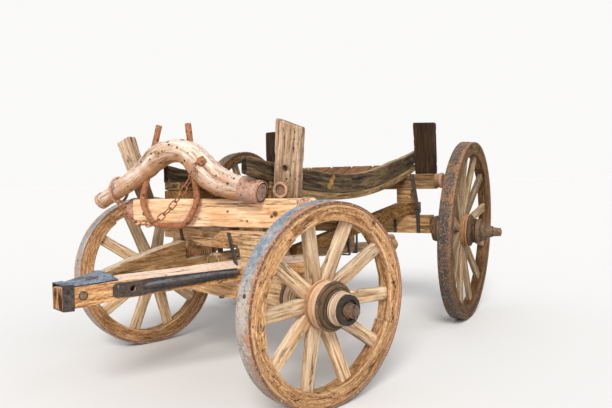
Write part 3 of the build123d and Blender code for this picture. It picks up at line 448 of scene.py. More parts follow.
class Painter:
    """Short ways to write a material's nodes."""

    def __init__(self, name):
        self.material = bpy.data.materials.new(name)
        self.material.use_nodes = True
        self.tree = self.material.node_tree
        self.tree.nodes.clear()
        self.shader = self.node("ShaderNodeBsdfPrincipled")
        out = self.node("ShaderNodeOutputMaterial")
        self.link(self.shader.outputs["BSDF"], out.inputs["Surface"])

    def node(self, kind, **settings):
        """A new node with some of its settings."""
        made = self.tree.nodes.new(kind)
        for key, value in settings.items():
            setattr(made, key, value)
        return made

    def link(self, source, target):
        self.tree.links.new(source, target)

    def feed(self, target, value):
        """Put a socket or a plain value into an input."""
        if isinstance(value, bpy.types.NodeSocket):
            self.link(value, target)
        else:
            target.default_value = value

    def object_place(self, turn=0.0):
        """The point itself, turned about the upright by an angle."""
        place = self.node("ShaderNodeTexCoord").outputs["Object"]
        if turn:
            mapping = self.node("ShaderNodeMapping")
            mapping.inputs["Rotation"].default_value = (0, 0, turn)
            self.link(place, mapping.inputs["Vector"])
            place = mapping.outputs["Vector"]
        return place

    def apart(self, vector):
        """A vector's three parts."""
        made = self.node("ShaderNodeSeparateXYZ")
        self.link(vector, made.inputs[0])
        return made.outputs

    def normal(self):
        return self.node("ShaderNodeNewGeometry").outputs["Normal"]

    def grain(self):
        return self.node("ShaderNodeUVMap", uv_map="Grain").outputs["UV"]

    def grain_place(self):
        """The point along and across the grain, and a third number that sets each skin apart."""
        joined = self.node("ShaderNodeCombineXYZ")
        uv = self.apart(self.grain())
        for k, value in enumerate((uv[0], uv[1], self.times(self.mark("part"), 9.0))):
            self.link(value, joined.inputs[k])
        return joined.outputs[0]

    def mark(self, label):
        """One of the marks that make_piece writes on the points."""
        return self.node("ShaderNodeAttribute", attribute_name=label).outputs["Fac"]

    def stretched(self, place, scale):
        """A place with its own scale in each direction."""
        mapping = self.node("ShaderNodeMapping")
        mapping.inputs["Scale"].default_value = scale
        self.link(place, mapping.inputs["Vector"])
        return mapping.outputs["Vector"]

    def noise(self, place, scale, detail=4.0, rough=0.55, bend=0.0):
        """Cloudy noise, mostly from 0.35 to 0.65."""
        made = self.node("ShaderNodeTexNoise")
        self.link(place, made.inputs["Vector"])
        for key, value in (("Scale", scale), ("Detail", detail), ("Roughness", rough), ("Distortion", bend)):
            made.inputs[key].default_value = value
        return made.outputs["Fac"]

    def maths(self, way, a, b=0.0):
        """One step of arithmetic on sockets or numbers."""
        made = self.node("ShaderNodeMath", operation=way)
        self.feed(made.inputs[0], a)
        self.feed(made.inputs[1], b)
        return made.outputs[0]

    def times(self, a, b):
        return self.maths("MULTIPLY", a, b)

    def plus(self, a, b):
        return self.maths("ADD", a, b)

    def less(self, a, b):
        return self.maths("SUBTRACT", a, b)

    def span(self, value, low, high, to_low=0.0, to_high=1.0):
        """The value's way from low to high, told between two other numbers and held inside them."""
        made = self.node("ShaderNodeMapRange")
        self.feed(made.inputs["Value"], value)
        for key, number in (("From Min", low), ("From Max", high), ("To Min", to_low), ("To Max", to_high)):
            made.inputs[key].default_value = number
        return made.outputs["Result"]

    def mix(self, share, *colours):
        """One colour changed to another by a share."""
        made = self.node("ShaderNodeMix", data_type="RGBA")
        self.feed(made.inputs[0], share)
        for target, colour in zip((made.inputs[6], made.inputs[7]), colours):
            self.feed(target, colour if isinstance(colour, bpy.types.NodeSocket) else (*colour, 1.0))
        return made.outputs[2]

    def ramp(self, value, stops):
        """Colours at places between 0 and 1, with what lies between them blended."""
        made = self.node("ShaderNodeValToRGB")
        self.link(value, made.inputs["Fac"])
        line = made.color_ramp
        while len(line.elements) < len(stops):
            line.elements.new(0.5)
        for element, (place, colour) in zip(line.elements, stops):
            element.position = place
            element.color = (*colour, 1.0)
        return made.outputs["Color"]

    def bump(self, height, strength, distance):
        """Relief by a height, given to the shader's normal."""
        made = self.node("ShaderNodeBump")
        self.link(height, made.inputs["Height"])
        made.inputs["Strength"].default_value = strength
        made.inputs["Distance"].default_value = distance
        self.link(made.outputs["Normal"], self.shader.inputs["Normal"])


def scaled(colour, factor, more=0.0):
    """A colour made brighter or darker, no part of it over one."""
    return tuple(min(1.0, part * factor + more) for part in colour)


def wood(name, base, dark, light, stain, by_uv=True, turn=0.0, along=1.0, checks=0.9, worm=0.0,
         stain_share=0.5, painted_top_light=0.0, painted_top_light_colour=None, painted_underside_shade=0.0, painted_underside_shade_colour=None, knots=(), edge_wear_and_highlight=0.3,
         pits=0.8, end_colour=None, shade_range=(0.84, 1.14), foot=None, mottle=0.0):
    """Weathered wood. Grain is noise drawn out along the timber, checks are the thin lines where a
    second drawn-out noise crosses its middle, stains are broad patches, pits are small dark specks,
    worn edges are paler, partly as wear and partly as a painted highlight, and sawn ends show rings.
    Faces that look up may get a painted highlight, faces that look down a painted shade, and parts
    low down a painted shade. Without a UV the grain lies along the object's own direction, turned by
    an angle, and an end colour paints the faces that look ahead."""
    p = Painter(name)
    place = p.grain_place() if by_uv else p.object_place(turn)
    fine = p.noise(p.stretched(place, (2.8 * along, 38.0, 38.0)), 2.6, 9.0, 0.7, 0.6)
    bands = p.noise(p.stretched(place, (1.2 * along, 9.0, 9.0)), 2.2, 3.0, 0.5, 0.8)
    patches = p.noise(place, 6.5, 5.0, 0.62)
    crossing = p.noise(p.stretched(place, (0.9 * along, 9.0, 9.0)), 2.3, 5.0, 0.55, 0.5)
    line = p.maths("ABSOLUTE", p.less(crossing, 0.5))
    where = p.span(p.noise(p.stretched(place, (1.2, 4.0, 4.0)), 3.0, 2.0), 0.47, 0.56)
    check = p.times(p.span(line, 0.003, 0.017, 1.0, 0.0), where)
    tone = p.plus(p.times(fine, 0.78), p.times(bands, 0.22))
    colour = p.ramp(tone, [(0.39, dark), (0.485, base), (0.59, light)])
    colour = p.mix(p.span(patches, 0.46, 0.62, 0.0, stain_share), colour, stain)
    darker = scaled(dark, 0.22)
    if mottle:
        grit = p.noise(p.stretched(place, (1.0, 3.2, 3.2)), 58.0, 6.0, 0.75, 0.4)
        colour = p.mix(p.span(grit, 0.42, 0.5, mottle, 0.0), colour, dark)
        colour = p.mix(p.span(grit, 0.52, 0.62, 0.0, mottle), colour, light)
    # Painted highlight: faces that look up are lightened towards a pale colour.
    if painted_top_light:
        up = p.span(p.apart(p.normal())[2], 0.35, 0.95, 0.0, painted_top_light)
        streaks = p.span(tone, 0.38, 0.5, 0.35, 1.0)
        colour = p.mix(p.times(up, streaks), colour, painted_top_light_colour or scaled(light, 1.12, 0.05))
    # Painted shade: faces that look down are darkened towards a shade colour.
    if painted_underside_shade:
        bent = p.plus(p.apart(p.normal())[2], p.span(patches, 0.3, 0.7, -0.4, 0.4))
        colour = p.mix(p.span(bent, -0.1, -0.6, 0.0, painted_underside_shade), colour, painted_underside_shade_colour)
    colour = p.mix(p.times(check, checks), colour, darker)
    height = p.less(tone, p.times(check, 0.9 * checks))
    specks = p.noise(p.stretched(place, (0.45, 1.0, 1.0)), 125.0, 4.0, 0.62)
    speck = p.times(p.span(specks, 0.585, 0.655), p.span(patches, 0.4, 0.58, 0.3, 1.0))
    colour = p.mix(p.times(speck, pits), colour, scaled(dark, 0.5))
    height = p.less(height, p.times(speck, 0.5 * pits))
    if worm:
        holes = p.node("ShaderNodeTexVoronoi", feature="F1")
        p.link(p.stretched(place, (0.6, 1.0, 1.0)), holes.inputs["Vector"])
        holes.inputs["Scale"].default_value = 55.0
        pit = p.span(holes.outputs["Distance"], 0.14, 0.24, 1.0, 0.0)
        pit = p.times(p.times(pit, p.span(p.noise(place, 9.0, 2.0), 0.5, 0.58)), worm)
        colour = p.mix(pit, colour, darker)
        height = p.less(height, pit)
    # Painted shade: darker towards the low end of the given heights.
    if foot:
        painted_low_shade = p.span(p.apart(p.object_place())[2], *foot, 0.0)
        colour = p.mix(painted_low_shade, colour, scaled(dark, 0.9))
    for knot_place, knot_size, *knot_colour in knots:
        away = p.node("ShaderNodeVectorMath", operation="DISTANCE")
        p.link(p.object_place(), away.inputs[0])
        away.inputs[1].default_value = tuple(knot_place)
        span = p.plus(away.outputs["Value"], p.times(p.noise(p.object_place(), 90.0), knot_size))
        colour = p.mix(p.span(span, knot_size * 1.2, knot_size * 1.9, 0.94, 0.0), colour,
                       knot_colour[0] if knot_colour else darker)
    if end_colour:
        facing = p.node("ShaderNodeVectorMath", operation="DOT_PRODUCT")
        p.link(p.normal(), facing.inputs[0])
        facing.inputs[1].default_value = (math.cos(STEER), math.sin(STEER), 0.0)
        slits = p.noise(p.stretched(p.object_place(turn), (9.0, 60.0, 5.0)), 1.6, 2.0, 0.5)
        cut = p.ramp(slits, [(0.42, darker), (0.5, end_colour), (0.64, scaled(end_colour, 1.3))])
        colour = p.mix(p.span(facing.outputs["Value"], 0.8, 0.9), colour, cut)
    if by_uv:
        # Worn edges made paler: partly wear, partly a painted highlight along the edges.
        worn = p.times(p.mark("edge"), p.span(patches, 0.35, 0.6, 0.2, 1.0))
        colour = p.mix(p.times(worn, edge_wear_and_highlight), colour, scaled(light, 1.15))
        rings = p.node("ShaderNodeTexWave", wave_type="RINGS", rings_direction="SPHERICAL")
        p.link(place, rings.inputs["Vector"])
        for key, value in (("Scale", 30.0), ("Distortion", 6.0), ("Detail", 3.0), ("Detail Scale", 2.0)):
            rings.inputs[key].default_value = value
        end = p.ramp(rings.outputs["Fac"], [(0.0, scaled(dark, 0.5)), (0.8, scaled(base, 0.6))])
        colour = p.mix(p.mark("sawn"), colour, end)
        shade = p.node("ShaderNodeHueSaturation")
        p.link(colour, shade.inputs["Color"])
        p.link(p.span(p.mark("part"), 0.0, 1.0, *shade_range), shade.inputs["Value"])
        colour = shade.outputs["Color"]
    p.link(colour, p.shader.inputs["Base Color"])
    p.link(p.span(tone, 0.3, 0.7, 0.95, 0.78), p.shader.inputs["Roughness"])
    p.shader.inputs["Specular IOR Level"].default_value = 0.2
    p.bump(height, 0.7, 0.006)
    return p.material


# Metres round a tyre's section: where its tread begins to turn to rust, where it is all rust, and
# its dark outboard side
RUST_FROM = 0.046
RUST_ALL = 0.064
RIM_SIDE = 0.0795


def iron(name, base, rust, deep, rust_share, shine, pits, rough, fleck, fleck_share, scale=1.0,
         painted_sky_reflection=None, painted_sky_reflection_share=0.0, rim=None, foot=None):
    """Old forged iron: broad patches from bare metal to rust, fine speckle, dark pits and pale
    flecks. Faces that look up may get a painted reflection of the sky, parts low down may be painted
    darker as shade, and a tyre's tread turns to rust towards its outboard rim, whose side is dark."""
    p = Painter(name)
    place = p.object_place()
    broad = p.noise(place, 11.0 * scale, 7.0, 0.66, 0.4)
    speckle = p.noise(place, 105.0 * scale, 6.0, 0.72)
    blend = p.plus(p.times(broad, 0.62), p.times(speckle, 0.38))
    low = 0.62 - 0.28 * rust_share
    colour = p.mix(p.span(blend, low - 0.04, low + 0.06), base, rust)
    # Painted sky reflection: faces that look up take a blue-grey colour.
    if painted_sky_reflection:
        up = p.span(p.apart(p.normal())[2], 0.15, 0.6, 0.0, painted_sky_reflection_share)
        drift = p.span(p.noise(place, 14.0, 5.0, 0.6), 0.4, 0.55, 0.25, 1.0)
        colour = p.mix(p.times(up, drift), colour, painted_sky_reflection)
    if rim:
        around = p.apart(p.grain())[1]
        ragged = p.plus(around, p.span(broad, 0.3, 0.7, -0.022, 0.022))
        colour = p.mix(p.span(ragged, RUST_FROM, RUST_ALL, 0.0, 0.9), colour, rim)
        away = p.maths("ABSOLUTE", p.less(around, RIM_SIDE))
        colour = p.mix(p.span(away, 0.0035, 0.006, 0.9, 0.0), colour, scaled(rim, 0.16))
    # Painted shade: darker towards the low end of the given heights.
    if foot:
        painted_low_shade = p.span(p.apart(place)[2], *foot, 0.0)
        colour = p.mix(p.times(painted_low_shade, p.span(broad, 0.3, 0.6, 0.5, 1.0)), colour, deep)
    dirt = p.span(p.noise(place, 46.0 * scale, 6.0, 0.7), 0.51, 0.66, 0.0, 0.9)
    colour = p.mix(p.times(dirt, 0.75), colour, deep)
    pale = p.span(p.noise(place, 135.0 * scale, 4.0, 0.65), 0.54, 0.62, 0.0, fleck_share)
    colour = p.mix(pale, colour, fleck)
    pit = p.span(p.noise(place, 70.0 * scale, 4.0, 0.62), 0.575, 0.65)
    colour = p.mix(p.times(pit, pits), colour, scaled(deep, 0.4))
    p.link(colour, p.shader.inputs["Base Color"])
    p.link(p.span(blend, 0.35, 0.65, *rough), p.shader.inputs["Roughness"])
    p.shader.inputs["Metallic"].default_value = shine
    height = p.less(p.plus(p.times(speckle, 0.45), p.times(broad, 0.5)), p.times(pit, 0.5))
    p.bump(height, 0.6, 0.003)
    return p.material


def wheel_point(corner, turn, out, radius):
    """A place on a wheel: degrees forward from its top, millimetres outboard, and radius."""
    turn = math.radians(turn)
    local = np.array([radius * math.sin(turn), out, radius * math.cos(turn)], float)
    return tuple(wheel_place(corner)(local))


# Two dark knots near the top of the near front rim, in metres, with their sizes
RIM_KNOTS = [((0.8589, 0.7916, 0.7047), 0.011), ((0.872, 0.790, 0.722), 0.006)]


def build_finishes():
    """Every finish of the wagon, by name. Colours are linear: the middle, dark and light tones of a
    wood and its stain, or an iron's bare metal, rust and a deep colour for dirt, pits and painted shade."""
    front = BOLSTER_FRONT
    # Here the lightening of faces that look up is a painted highlight, and the darkening of faces that look
    # down and of low parts is painted shade.
    return {
        "bolster": wood("bolster wood", tuple(bpy.context.scene.wagon_finish.honey), (0.42, 0.205, 0.09),
                        (0.95, 0.71, 0.51), (0.82, 0.46, 0.225), checks=0.85, stain_share=0.6, painted_top_light=0.25,
                        edge_wear_and_highlight=0.5, pits=0.4, knots=(
                            (wagon_place([front, 88, 742]), 0.006), (wagon_place([front, 335, 733]), 0.012),
                            (wagon_place([front, 318, 722]), 0.007), (wagon_place([front, 190, 700]), 0.005),
                            (wagon_place([front, -405, 728]), 0.009))),
        "carriage": wood("carriage wood", (0.56, 0.335, 0.16), (0.21, 0.095, 0.036), (0.82, 0.59, 0.37),
                         (0.48, 0.225, 0.085), by_uv=False, turn=math.pi / 2 - STEER, checks=0.8, painted_top_light=0.4,
                         pits=0.4, mottle=0.35),
        "arm": wood("drawbar wood", (0.54, 0.275, 0.11), (0.20, 0.085, 0.03), (0.78, 0.47, 0.235),
                    (0.34, 0.135, 0.045), by_uv=False, turn=ARM_TURN - STEER, checks=0.8, painted_top_light=0.95,
                    painted_top_light_colour=(0.78, 0.63, 0.52), end_colour=(0.60, 0.27, 0.10), mottle=0.55,
                    knots=((carriage_place([500, 100, 460]), 0.019), (carriage_place([500, 80, 460]), 0.019),
                           (carriage_place([500, 58, 460]), 0.019))),
        "far_arm": wood("far drawbar wood", (0.36, 0.215, 0.095), (0.14, 0.07, 0.028), (0.58, 0.39, 0.20),
                        (0.22, 0.105, 0.04), by_uv=False, turn=-ARM_TURN - STEER, painted_top_light=0.9,
                        painted_top_light_colour=(0.64, 0.52, 0.39), end_colour=(0.56, 0.25, 0.09)),
        "hind": wood("hind wood", (0.20, 0.115, 0.055), (0.06, 0.03, 0.015), (0.44, 0.28, 0.15),
                     (0.27, 0.135, 0.055), by_uv=False, turn=math.pi / 2, painted_top_light=0.3, pits=0.6),
        "hound": wood("hound wood", (0.175, 0.088, 0.027), (0.055, 0.025, 0.009), (0.35, 0.19, 0.064),
                      (0.11, 0.046, 0.014), by_uv=False, painted_top_light=0.3, pits=0.6),
        "block": wood("block wood", (0.34, 0.19, 0.08), (0.12, 0.055, 0.02), (0.56, 0.35, 0.17),
                      (0.24, 0.11, 0.04), by_uv=False, turn=math.pi / 2, checks=0.8, painted_top_light=0.1, pits=0.6),
        "stake": wood("stake wood", (0.40, 0.262, 0.162), (0.12, 0.066, 0.036), (0.70, 0.52, 0.38),
                      (0.30, 0.178, 0.095), along=0.8, checks=1.0, worm=0.9, stain_share=0.55,
                      foot=(0.80, 1.0, 0.5)),
        "dark_stake": wood("dark stake wood", (0.024, 0.012, 0.006), (0.008, 0.004, 0.003),
                           (0.055, 0.03, 0.016), (0.04, 0.02, 0.01), checks=0.8, edge_wear_and_highlight=0.6, pits=0.4),
        # The side board: dark wood whose pale top and pale edges are painted highlights.
        "board": wood("side board wood", (0.070, 0.046, 0.025), (0.018, 0.012, 0.008), (0.20, 0.135, 0.072),
                      (0.037, 0.024, 0.014), painted_top_light=0.9, painted_top_light_colour=(0.44, 0.315, 0.19), edge_wear_and_highlight=0.95,
                      pits=0.4, knots=((wagon_place([1012, 350, 842]), 0.015, (0.34, 0.185, 0.05)),
                                       (wagon_place([988, 354, 864]), 0.017, (0.42, 0.235, 0.06)),
                                       (wagon_place([966, 358, 886]), 0.013, (0.34, 0.185, 0.05)))),
        "pale_stave": wood("pale stave wood", (0.24, 0.145, 0.062), (0.08, 0.044, 0.02), (0.46, 0.32, 0.165),
                           (0.12, 0.066, 0.028), painted_top_light=0.1, pits=0.5),
        "dark_stave": wood("stave wood", (0.115, 0.052, 0.024), (0.035, 0.016, 0.009), (0.27, 0.12, 0.05),
                           (0.24, 0.08, 0.022), painted_top_light=0.15, pits=0.5),
        "yoke": wood("yoke wood", (0.60, 0.435, 0.33), (0.28, 0.145, 0.078), (0.86, 0.73, 0.64),
                     (0.50, 0.285, 0.155), along=0.8, checks=0.6, worm=1.0, stain_share=0.75, painted_top_light=0.7,
                     painted_top_light_colour=(0.80, 0.70, 0.655), painted_underside_shade=0.85, painted_underside_shade_colour=(0.42, 0.20, 0.075), pits=1.0,
                     knots=[(wagon_place([YOKE_X + 50, y, z]), size) for y, z, size in (
                         (-121, 1036, 0.006), (-205, 985, 0.004), (-60, 1010, 0.004), (90, 905, 0.005),
                         (150, 868, 0.006))]),
        "felloe": wood("felloe wood", (0.45, 0.235, 0.095), (0.15, 0.064, 0.024), (0.78, 0.50, 0.275),
                       (0.32, 0.14, 0.048), along=1.3, checks=0.95, worm=0.8, stain_share=0.55,
                       edge_wear_and_highlight=0.55, pits=1.0, foot=(0.10, 0.45, 0.2), mottle=0.5, knots=[
                           *RIM_KNOTS, (wheel_point("front_left", 106.5, 34, 352), 0.004),
                           (wheel_point("front_left", 178.5, 34, 350), 0.004)]),
        # The rear felloes: a darker copy of the felloe wood, as painted shade.
        "shaded_felloe": wood("rear felloe wood", (0.105, 0.052, 0.019), (0.03, 0.013, 0.006),
                           (0.23, 0.128, 0.054), (0.14, 0.06, 0.019), along=1.3, checks=0.95, worm=0.7,
                           edge_wear_and_highlight=0.45, pits=0.9, foot=(0.10, 0.6, 0.35), mottle=0.4),
        "spoke": wood("spoke wood", (0.57, 0.385, 0.22), (0.25, 0.13, 0.058), (0.82, 0.65, 0.47),
                      (0.48, 0.275, 0.13), along=0.9, checks=0.8, painted_top_light=0.4, painted_top_light_colour=(0.84, 0.74, 0.62),
                      pits=0.6, painted_underside_shade=0.5, painted_underside_shade_colour=(0.33, 0.175, 0.075), shade_range=(0.72, 1.14)),
        # The rear spokes: a darker copy of the spoke wood, as painted shade.
        "shaded_spoke": wood("rear spoke wood", (0.27, 0.175, 0.095), (0.08, 0.042, 0.02), (0.50, 0.37, 0.235),
                          (0.21, 0.118, 0.052), along=0.9, stain_share=0.6, painted_top_light=0.3, edge_wear_and_highlight=0.4,
                          pits=0.6, shade_range=(0.4, 1.25), foot=(0.10, 0.6, 0.3), mottle=0.3),
        "nave": wood("nave wood", (0.082, 0.049, 0.026), (0.02, 0.012, 0.007), (0.20, 0.13, 0.077),
                     (0.052, 0.03, 0.017), along=0.5, edge_wear_and_highlight=0.2, pits=0.7, mottle=0.5),
        "nave_band": wood("nave band wood", (0.62, 0.385, 0.22), (0.24, 0.115, 0.05), (0.86, 0.66, 0.48),
                          (0.50, 0.22, 0.08), along=0.5, painted_top_light=0.3, edge_wear_and_highlight=0.4, mottle=0.5),
        "old_band": wood("rear nave band wood", (0.34, 0.165, 0.068), (0.12, 0.05, 0.02),
                         (0.55, 0.32, 0.165), (0.20, 0.085, 0.03), along=0.5, painted_top_light=0.2, mottle=0.5),
        "nave_end": wood("nave end wood", (0.56, 0.40, 0.26), (0.17, 0.10, 0.055), (0.84, 0.70, 0.54),
                         (0.40, 0.23, 0.11), along=0.5, edge_wear_and_highlight=0.4),
        "reach": wood("reach wood", (0.40, 0.25, 0.12), (0.12, 0.06, 0.028), (0.62, 0.44, 0.26),
                      (0.24, 0.12, 0.05), along=0.8, painted_top_light=0.35, pits=0.7),
        # The blue on faces that look up is a painted sky reflection, and the darkening low down is painted
        # shade.
        "tyre": iron("worn tyre iron", (0.50, 0.435, 0.385), (0.36, 0.285, 0.245), (0.12, 0.08, 0.06),
                     rust_share=0.45, shine=0.2, pits=0.5, rough=(0.42, 0.72), painted_sky_reflection=(0.15, 0.245, 0.33),
                     painted_sky_reflection_share=0.95, rim=(0.53, 0.215, 0.08), fleck=(0.70, 0.65, 0.61), fleck_share=0.4,
                     foot=(0.02, 0.36, 0.85)),
        "dark_tyre": iron("rusted tyre iron", (0.055, 0.044, 0.036), (0.23, 0.108, 0.045),
                          (0.018, 0.013, 0.010), rust_share=0.38, shine=0.12, pits=0.9, rough=(0.6, 0.88),
                          rim=(0.33, 0.15, 0.06), fleck=(0.34, 0.26, 0.19), fleck_share=0.75, scale=1.15,
                          foot=(0.10, 0.85, 0.8)),
        "rust": iron("rusted wrought iron", (0.13, 0.068, 0.045), (0.36, 0.135, 0.052),
                     (0.065, 0.028, 0.017), rust_share=0.7, shine=0.05, pits=0.8, rough=(0.7, 0.92),
                     fleck=(0.60, 0.31, 0.17), fleck_share=0.7),
        "pale_rust": iron("pale rusted iron", (0.41, 0.255, 0.195), (0.53, 0.28, 0.17), (0.12, 0.058, 0.04),
                          rust_share=0.55, shine=0.08, pits=0.8, rough=(0.6, 0.85),
                          fleck=(0.72, 0.52, 0.43), fleck_share=0.6),
        "hoop": iron("nave hoop iron", (0.075, 0.055, 0.042), (0.20, 0.10, 0.05), (0.03, 0.022, 0.018),
                     rust_share=0.45, shine=0.15, pits=0.6, rough=(0.6, 0.88), fleck=(0.26, 0.16, 0.09),
                     fleck_share=0.5),
        "nut": iron("axle nut iron", (0.13, 0.088, 0.057), (0.26, 0.13, 0.058), (0.03, 0.02, 0.014),
                    rust_share=0.35, shine=0.15, pits=0.7, rough=(0.5, 0.85), fleck=(0.36, 0.22, 0.13),
                    fleck_share=0.6),
        # The blue-grey on faces that look up is a painted sky reflection.
        "black": iron("forged black iron", (0.030, 0.027, 0.027), (0.078, 0.050, 0.034),
                      (0.009, 0.008, 0.009), rust_share=0.4, shine=0.25, pits=0.6, rough=(0.4, 0.75),
                      fleck=(0.13, 0.105, 0.09), fleck_share=0.6, painted_sky_reflection=(0.15, 0.17, 0.21),
                      painted_sky_reflection_share=0.8),
        # Near black: the colour of the front naves' iron faces, and painted shade in the gap at the yoke's
        # end.
        "dark": iron("black iron and painted shade", (0.018, 0.015, 0.013), (0.04, 0.027, 0.019), (0.008, 0.007, 0.006),
                     rust_share=0.3, shine=0.1, pits=0.6, rough=(0.6, 0.9), fleck=(0.075, 0.058, 0.046),
                     fleck_share=0.5),
        # Dark iron whose blue on faces that look up is a painted sky reflection.
        "blue_plate": iron("plate iron with painted sky reflection", (0.028, 0.024, 0.023), (0.075, 0.048, 0.034),
                           (0.010, 0.009, 0.010), rust_share=0.3, shine=0.2, pits=0.9, rough=(0.45, 0.8),
                           fleck=(0.15, 0.12, 0.105), fleck_share=0.5, painted_sky_reflection=(0.23, 0.29, 0.38),
                           painted_sky_reflection_share=1.0),
    }


FINISH = {}


# Wheels

# A wheel's own columns: radius, spokes, felloes, spoke width at the nave and at the rim, and the
# spoke's thickness there
WHEEL_TABLE = {"front": (400, 10, 5, 65, 57, 37, 30), "rear": (542, 12, 6, 50, 57, 36, 30)}
# The nave's outline, as pairs of distance outboard and radius
NAVE_TABLE = {
    "front": [(-200, 70), (-170, 77), (-60, 94), (-52, 95), (32, 95), (46, 89), (58, 81), (66, 65),
              (105, 60)],
    "rear": [(-207, 74), (-175, 80), (-66, 97), (-58, 98), (24, 98), (32, 75), (84, 70), (88, 56),
             (122, 51)],
}
# The two ends of each iron hoop round the nave, as distances outboard
HOOP_TABLE = {
    "front": [(-198, -174), (-82, -66), (34, 44)],
    "rear": [(-205, -179), (-88, -70), (62, 80), (94, 106)],
}
# Finishes of tyre, felloes, spokes, nave band, nave end and the iron on the nave's face; the rear
# felloes and spokes take darker copies of the front's woods as painted shade
WHEEL_FINISH = {
    "front": ("tyre", "felloe", "spoke", "nave_band", "nave_end", "dark"),
    "rear": ("dark_tyre", "shaded_felloe", "shaded_spoke", "old_band", "nave", "nut"),
}
WHEEL_SEED = {"front_left": 11, "front_right": 211, "rear_left": 411, "rear_right": 611}
TYRE_HALF = 38
TYRE_THICK = 10
# Each felloe's own depth, half their width, the first joint's angle and the gap at each joint
FELLOE_DEPTHS = {"front": [62, 66, 59, 63, 57], "rear": [64, 68, 62, 66, 60, 65]}
FELLOE_HALF = 34
FELLOE_START = math.radians(-37.3)
FELLOE_GAP = 1.5
# How far a spoke's foot is sunk in the nave, how far its head ends inside the tyre, and how far its
# foot stands inboard of its head
SPOKE_SINK = 8
SPOKE_END = 52
DISH = {"front": 46, "rear": 40}
# Where the nave's pale band ends, how long its end ring is and how far its iron face stands out
BAND_END = {"front": 30, "rear": 14}
RING_LONG = {"front": 38, "rear": 22}
FACE_DEEP = {"front": 15, "rear": 5}
# The rear hub's pipe, the nave's bore and the bore of the plate round the axle arm
PIPE_RADIUS = 37
PIPE_END = 151
BORE = 31.1
ARM_FIT = 28.6
RIVET_START = math.radians(5)
RIVET_DOME = [(0.0, 9.0), (1.6, 8.6), (2.6, 6.6), (3.2, 3.2)]


def wheel_place(corner):
    """How points in a wheel's own frame (forward, outboard, up, in millimetres) reach the row
    frame: from the wheel's centre and axle line at rest."""
    joint = JOINTS[corner + "_roll"]
    out = np.array(joint["axis"], float) * (-1 if corner.endswith("right") else 1)
    turn = STEER if corner.startswith("front") else 0.0
    ahead = np.array([math.cos(turn), math.sin(turn), 0.0])
    up = np.cross(ahead, out)
    up = up * np.sign(up[2])
    centre = np.array(joint["pos_m"], float)

    def place(points):
        points = np.asarray(points, float) * MM
        return centre + points[..., :1] * ahead + points[..., 1:2] * out + points[..., 2:3] * up

    return place


def felloe_skin(place, kind, index, radius, felloes, seed, round_to):
    """One felloe: its section, a trapezoid of (outboard, radius), goes round its share of the rim,
    and its inner radius swells a little between the joints."""
    share = 2 * math.pi / felloes
    turn = FELLOE_START + np.linspace(share * index, share * (index + 1) - FELLOE_GAP / radius, 34)
    swell = 3.0 * np.sin((turn - turn[0]) / share * math.pi)
    swell = swell + 1.2 * waviness(turn * radius, 0 * turn, seed, 60)
    inner = radius - TYRE_THICK - FELLOE_DEPTHS[kind][index] - swell
    section, near = rounded(corner_rows(
        (-FELLOE_HALF, inner), (FELLOE_HALF, inner), (FELLOE_HALF, radius - FELLOE_HALF * CONE - TYRE_THICK),
        (-FELLOE_HALF, radius + FELLOE_HALF * CONE - TYRE_THICK)), round_to, side=5)
    t = turn[:, None]
    worn = 2.2 * near * chips(t * radius, section[..., 0], seed + 2, 24)
    r = section[..., 1] - worn * np.sign(section[..., 1] - section[..., 1].mean(axis=1, keepdims=True))
    a = section[..., 0] * (1 - 0.012 * (1 + waviness(t * radius, r, seed + 4, 50)))
    made = skin(place(turned(a, r, t)), near)
    made.part = np.random.RandomState(seed).uniform(0.1, 0.9)
    return made


def spoke_skin(place, turn, nave_r, rim_r, wide_nave, wide_rim, thick_nave, thick_rim, dish, seed, round_to):
    """One spoke: a rounded rectangle between its sizes at nave and rim, a little slimmer midway."""
    reach = np.linspace(0, 1, 6)
    radius = nave_r - SPOKE_SINK + (rim_r - nave_r + SPOKE_SINK) * reach
    wide = (wide_nave + (wide_rim - wide_nave) * reach) / 2 * (1 - 0.06 * np.sin(reach * math.pi))
    thick = (thick_nave + (thick_rim - thick_nave) * reach) / 2
    lean = -dish * (1 - reach)
    low, high = lean - thick, lean + thick
    corners = corner_rows((-wide, low), (wide, low), (wide, high), (-wide, high))
    return worn_beam(reordered(spun(place, turn), (1, 2, 0)), radius, corners, round_to, seed, rows=14,
                     wear=1.2, wave=1.2, bevel=2.0)


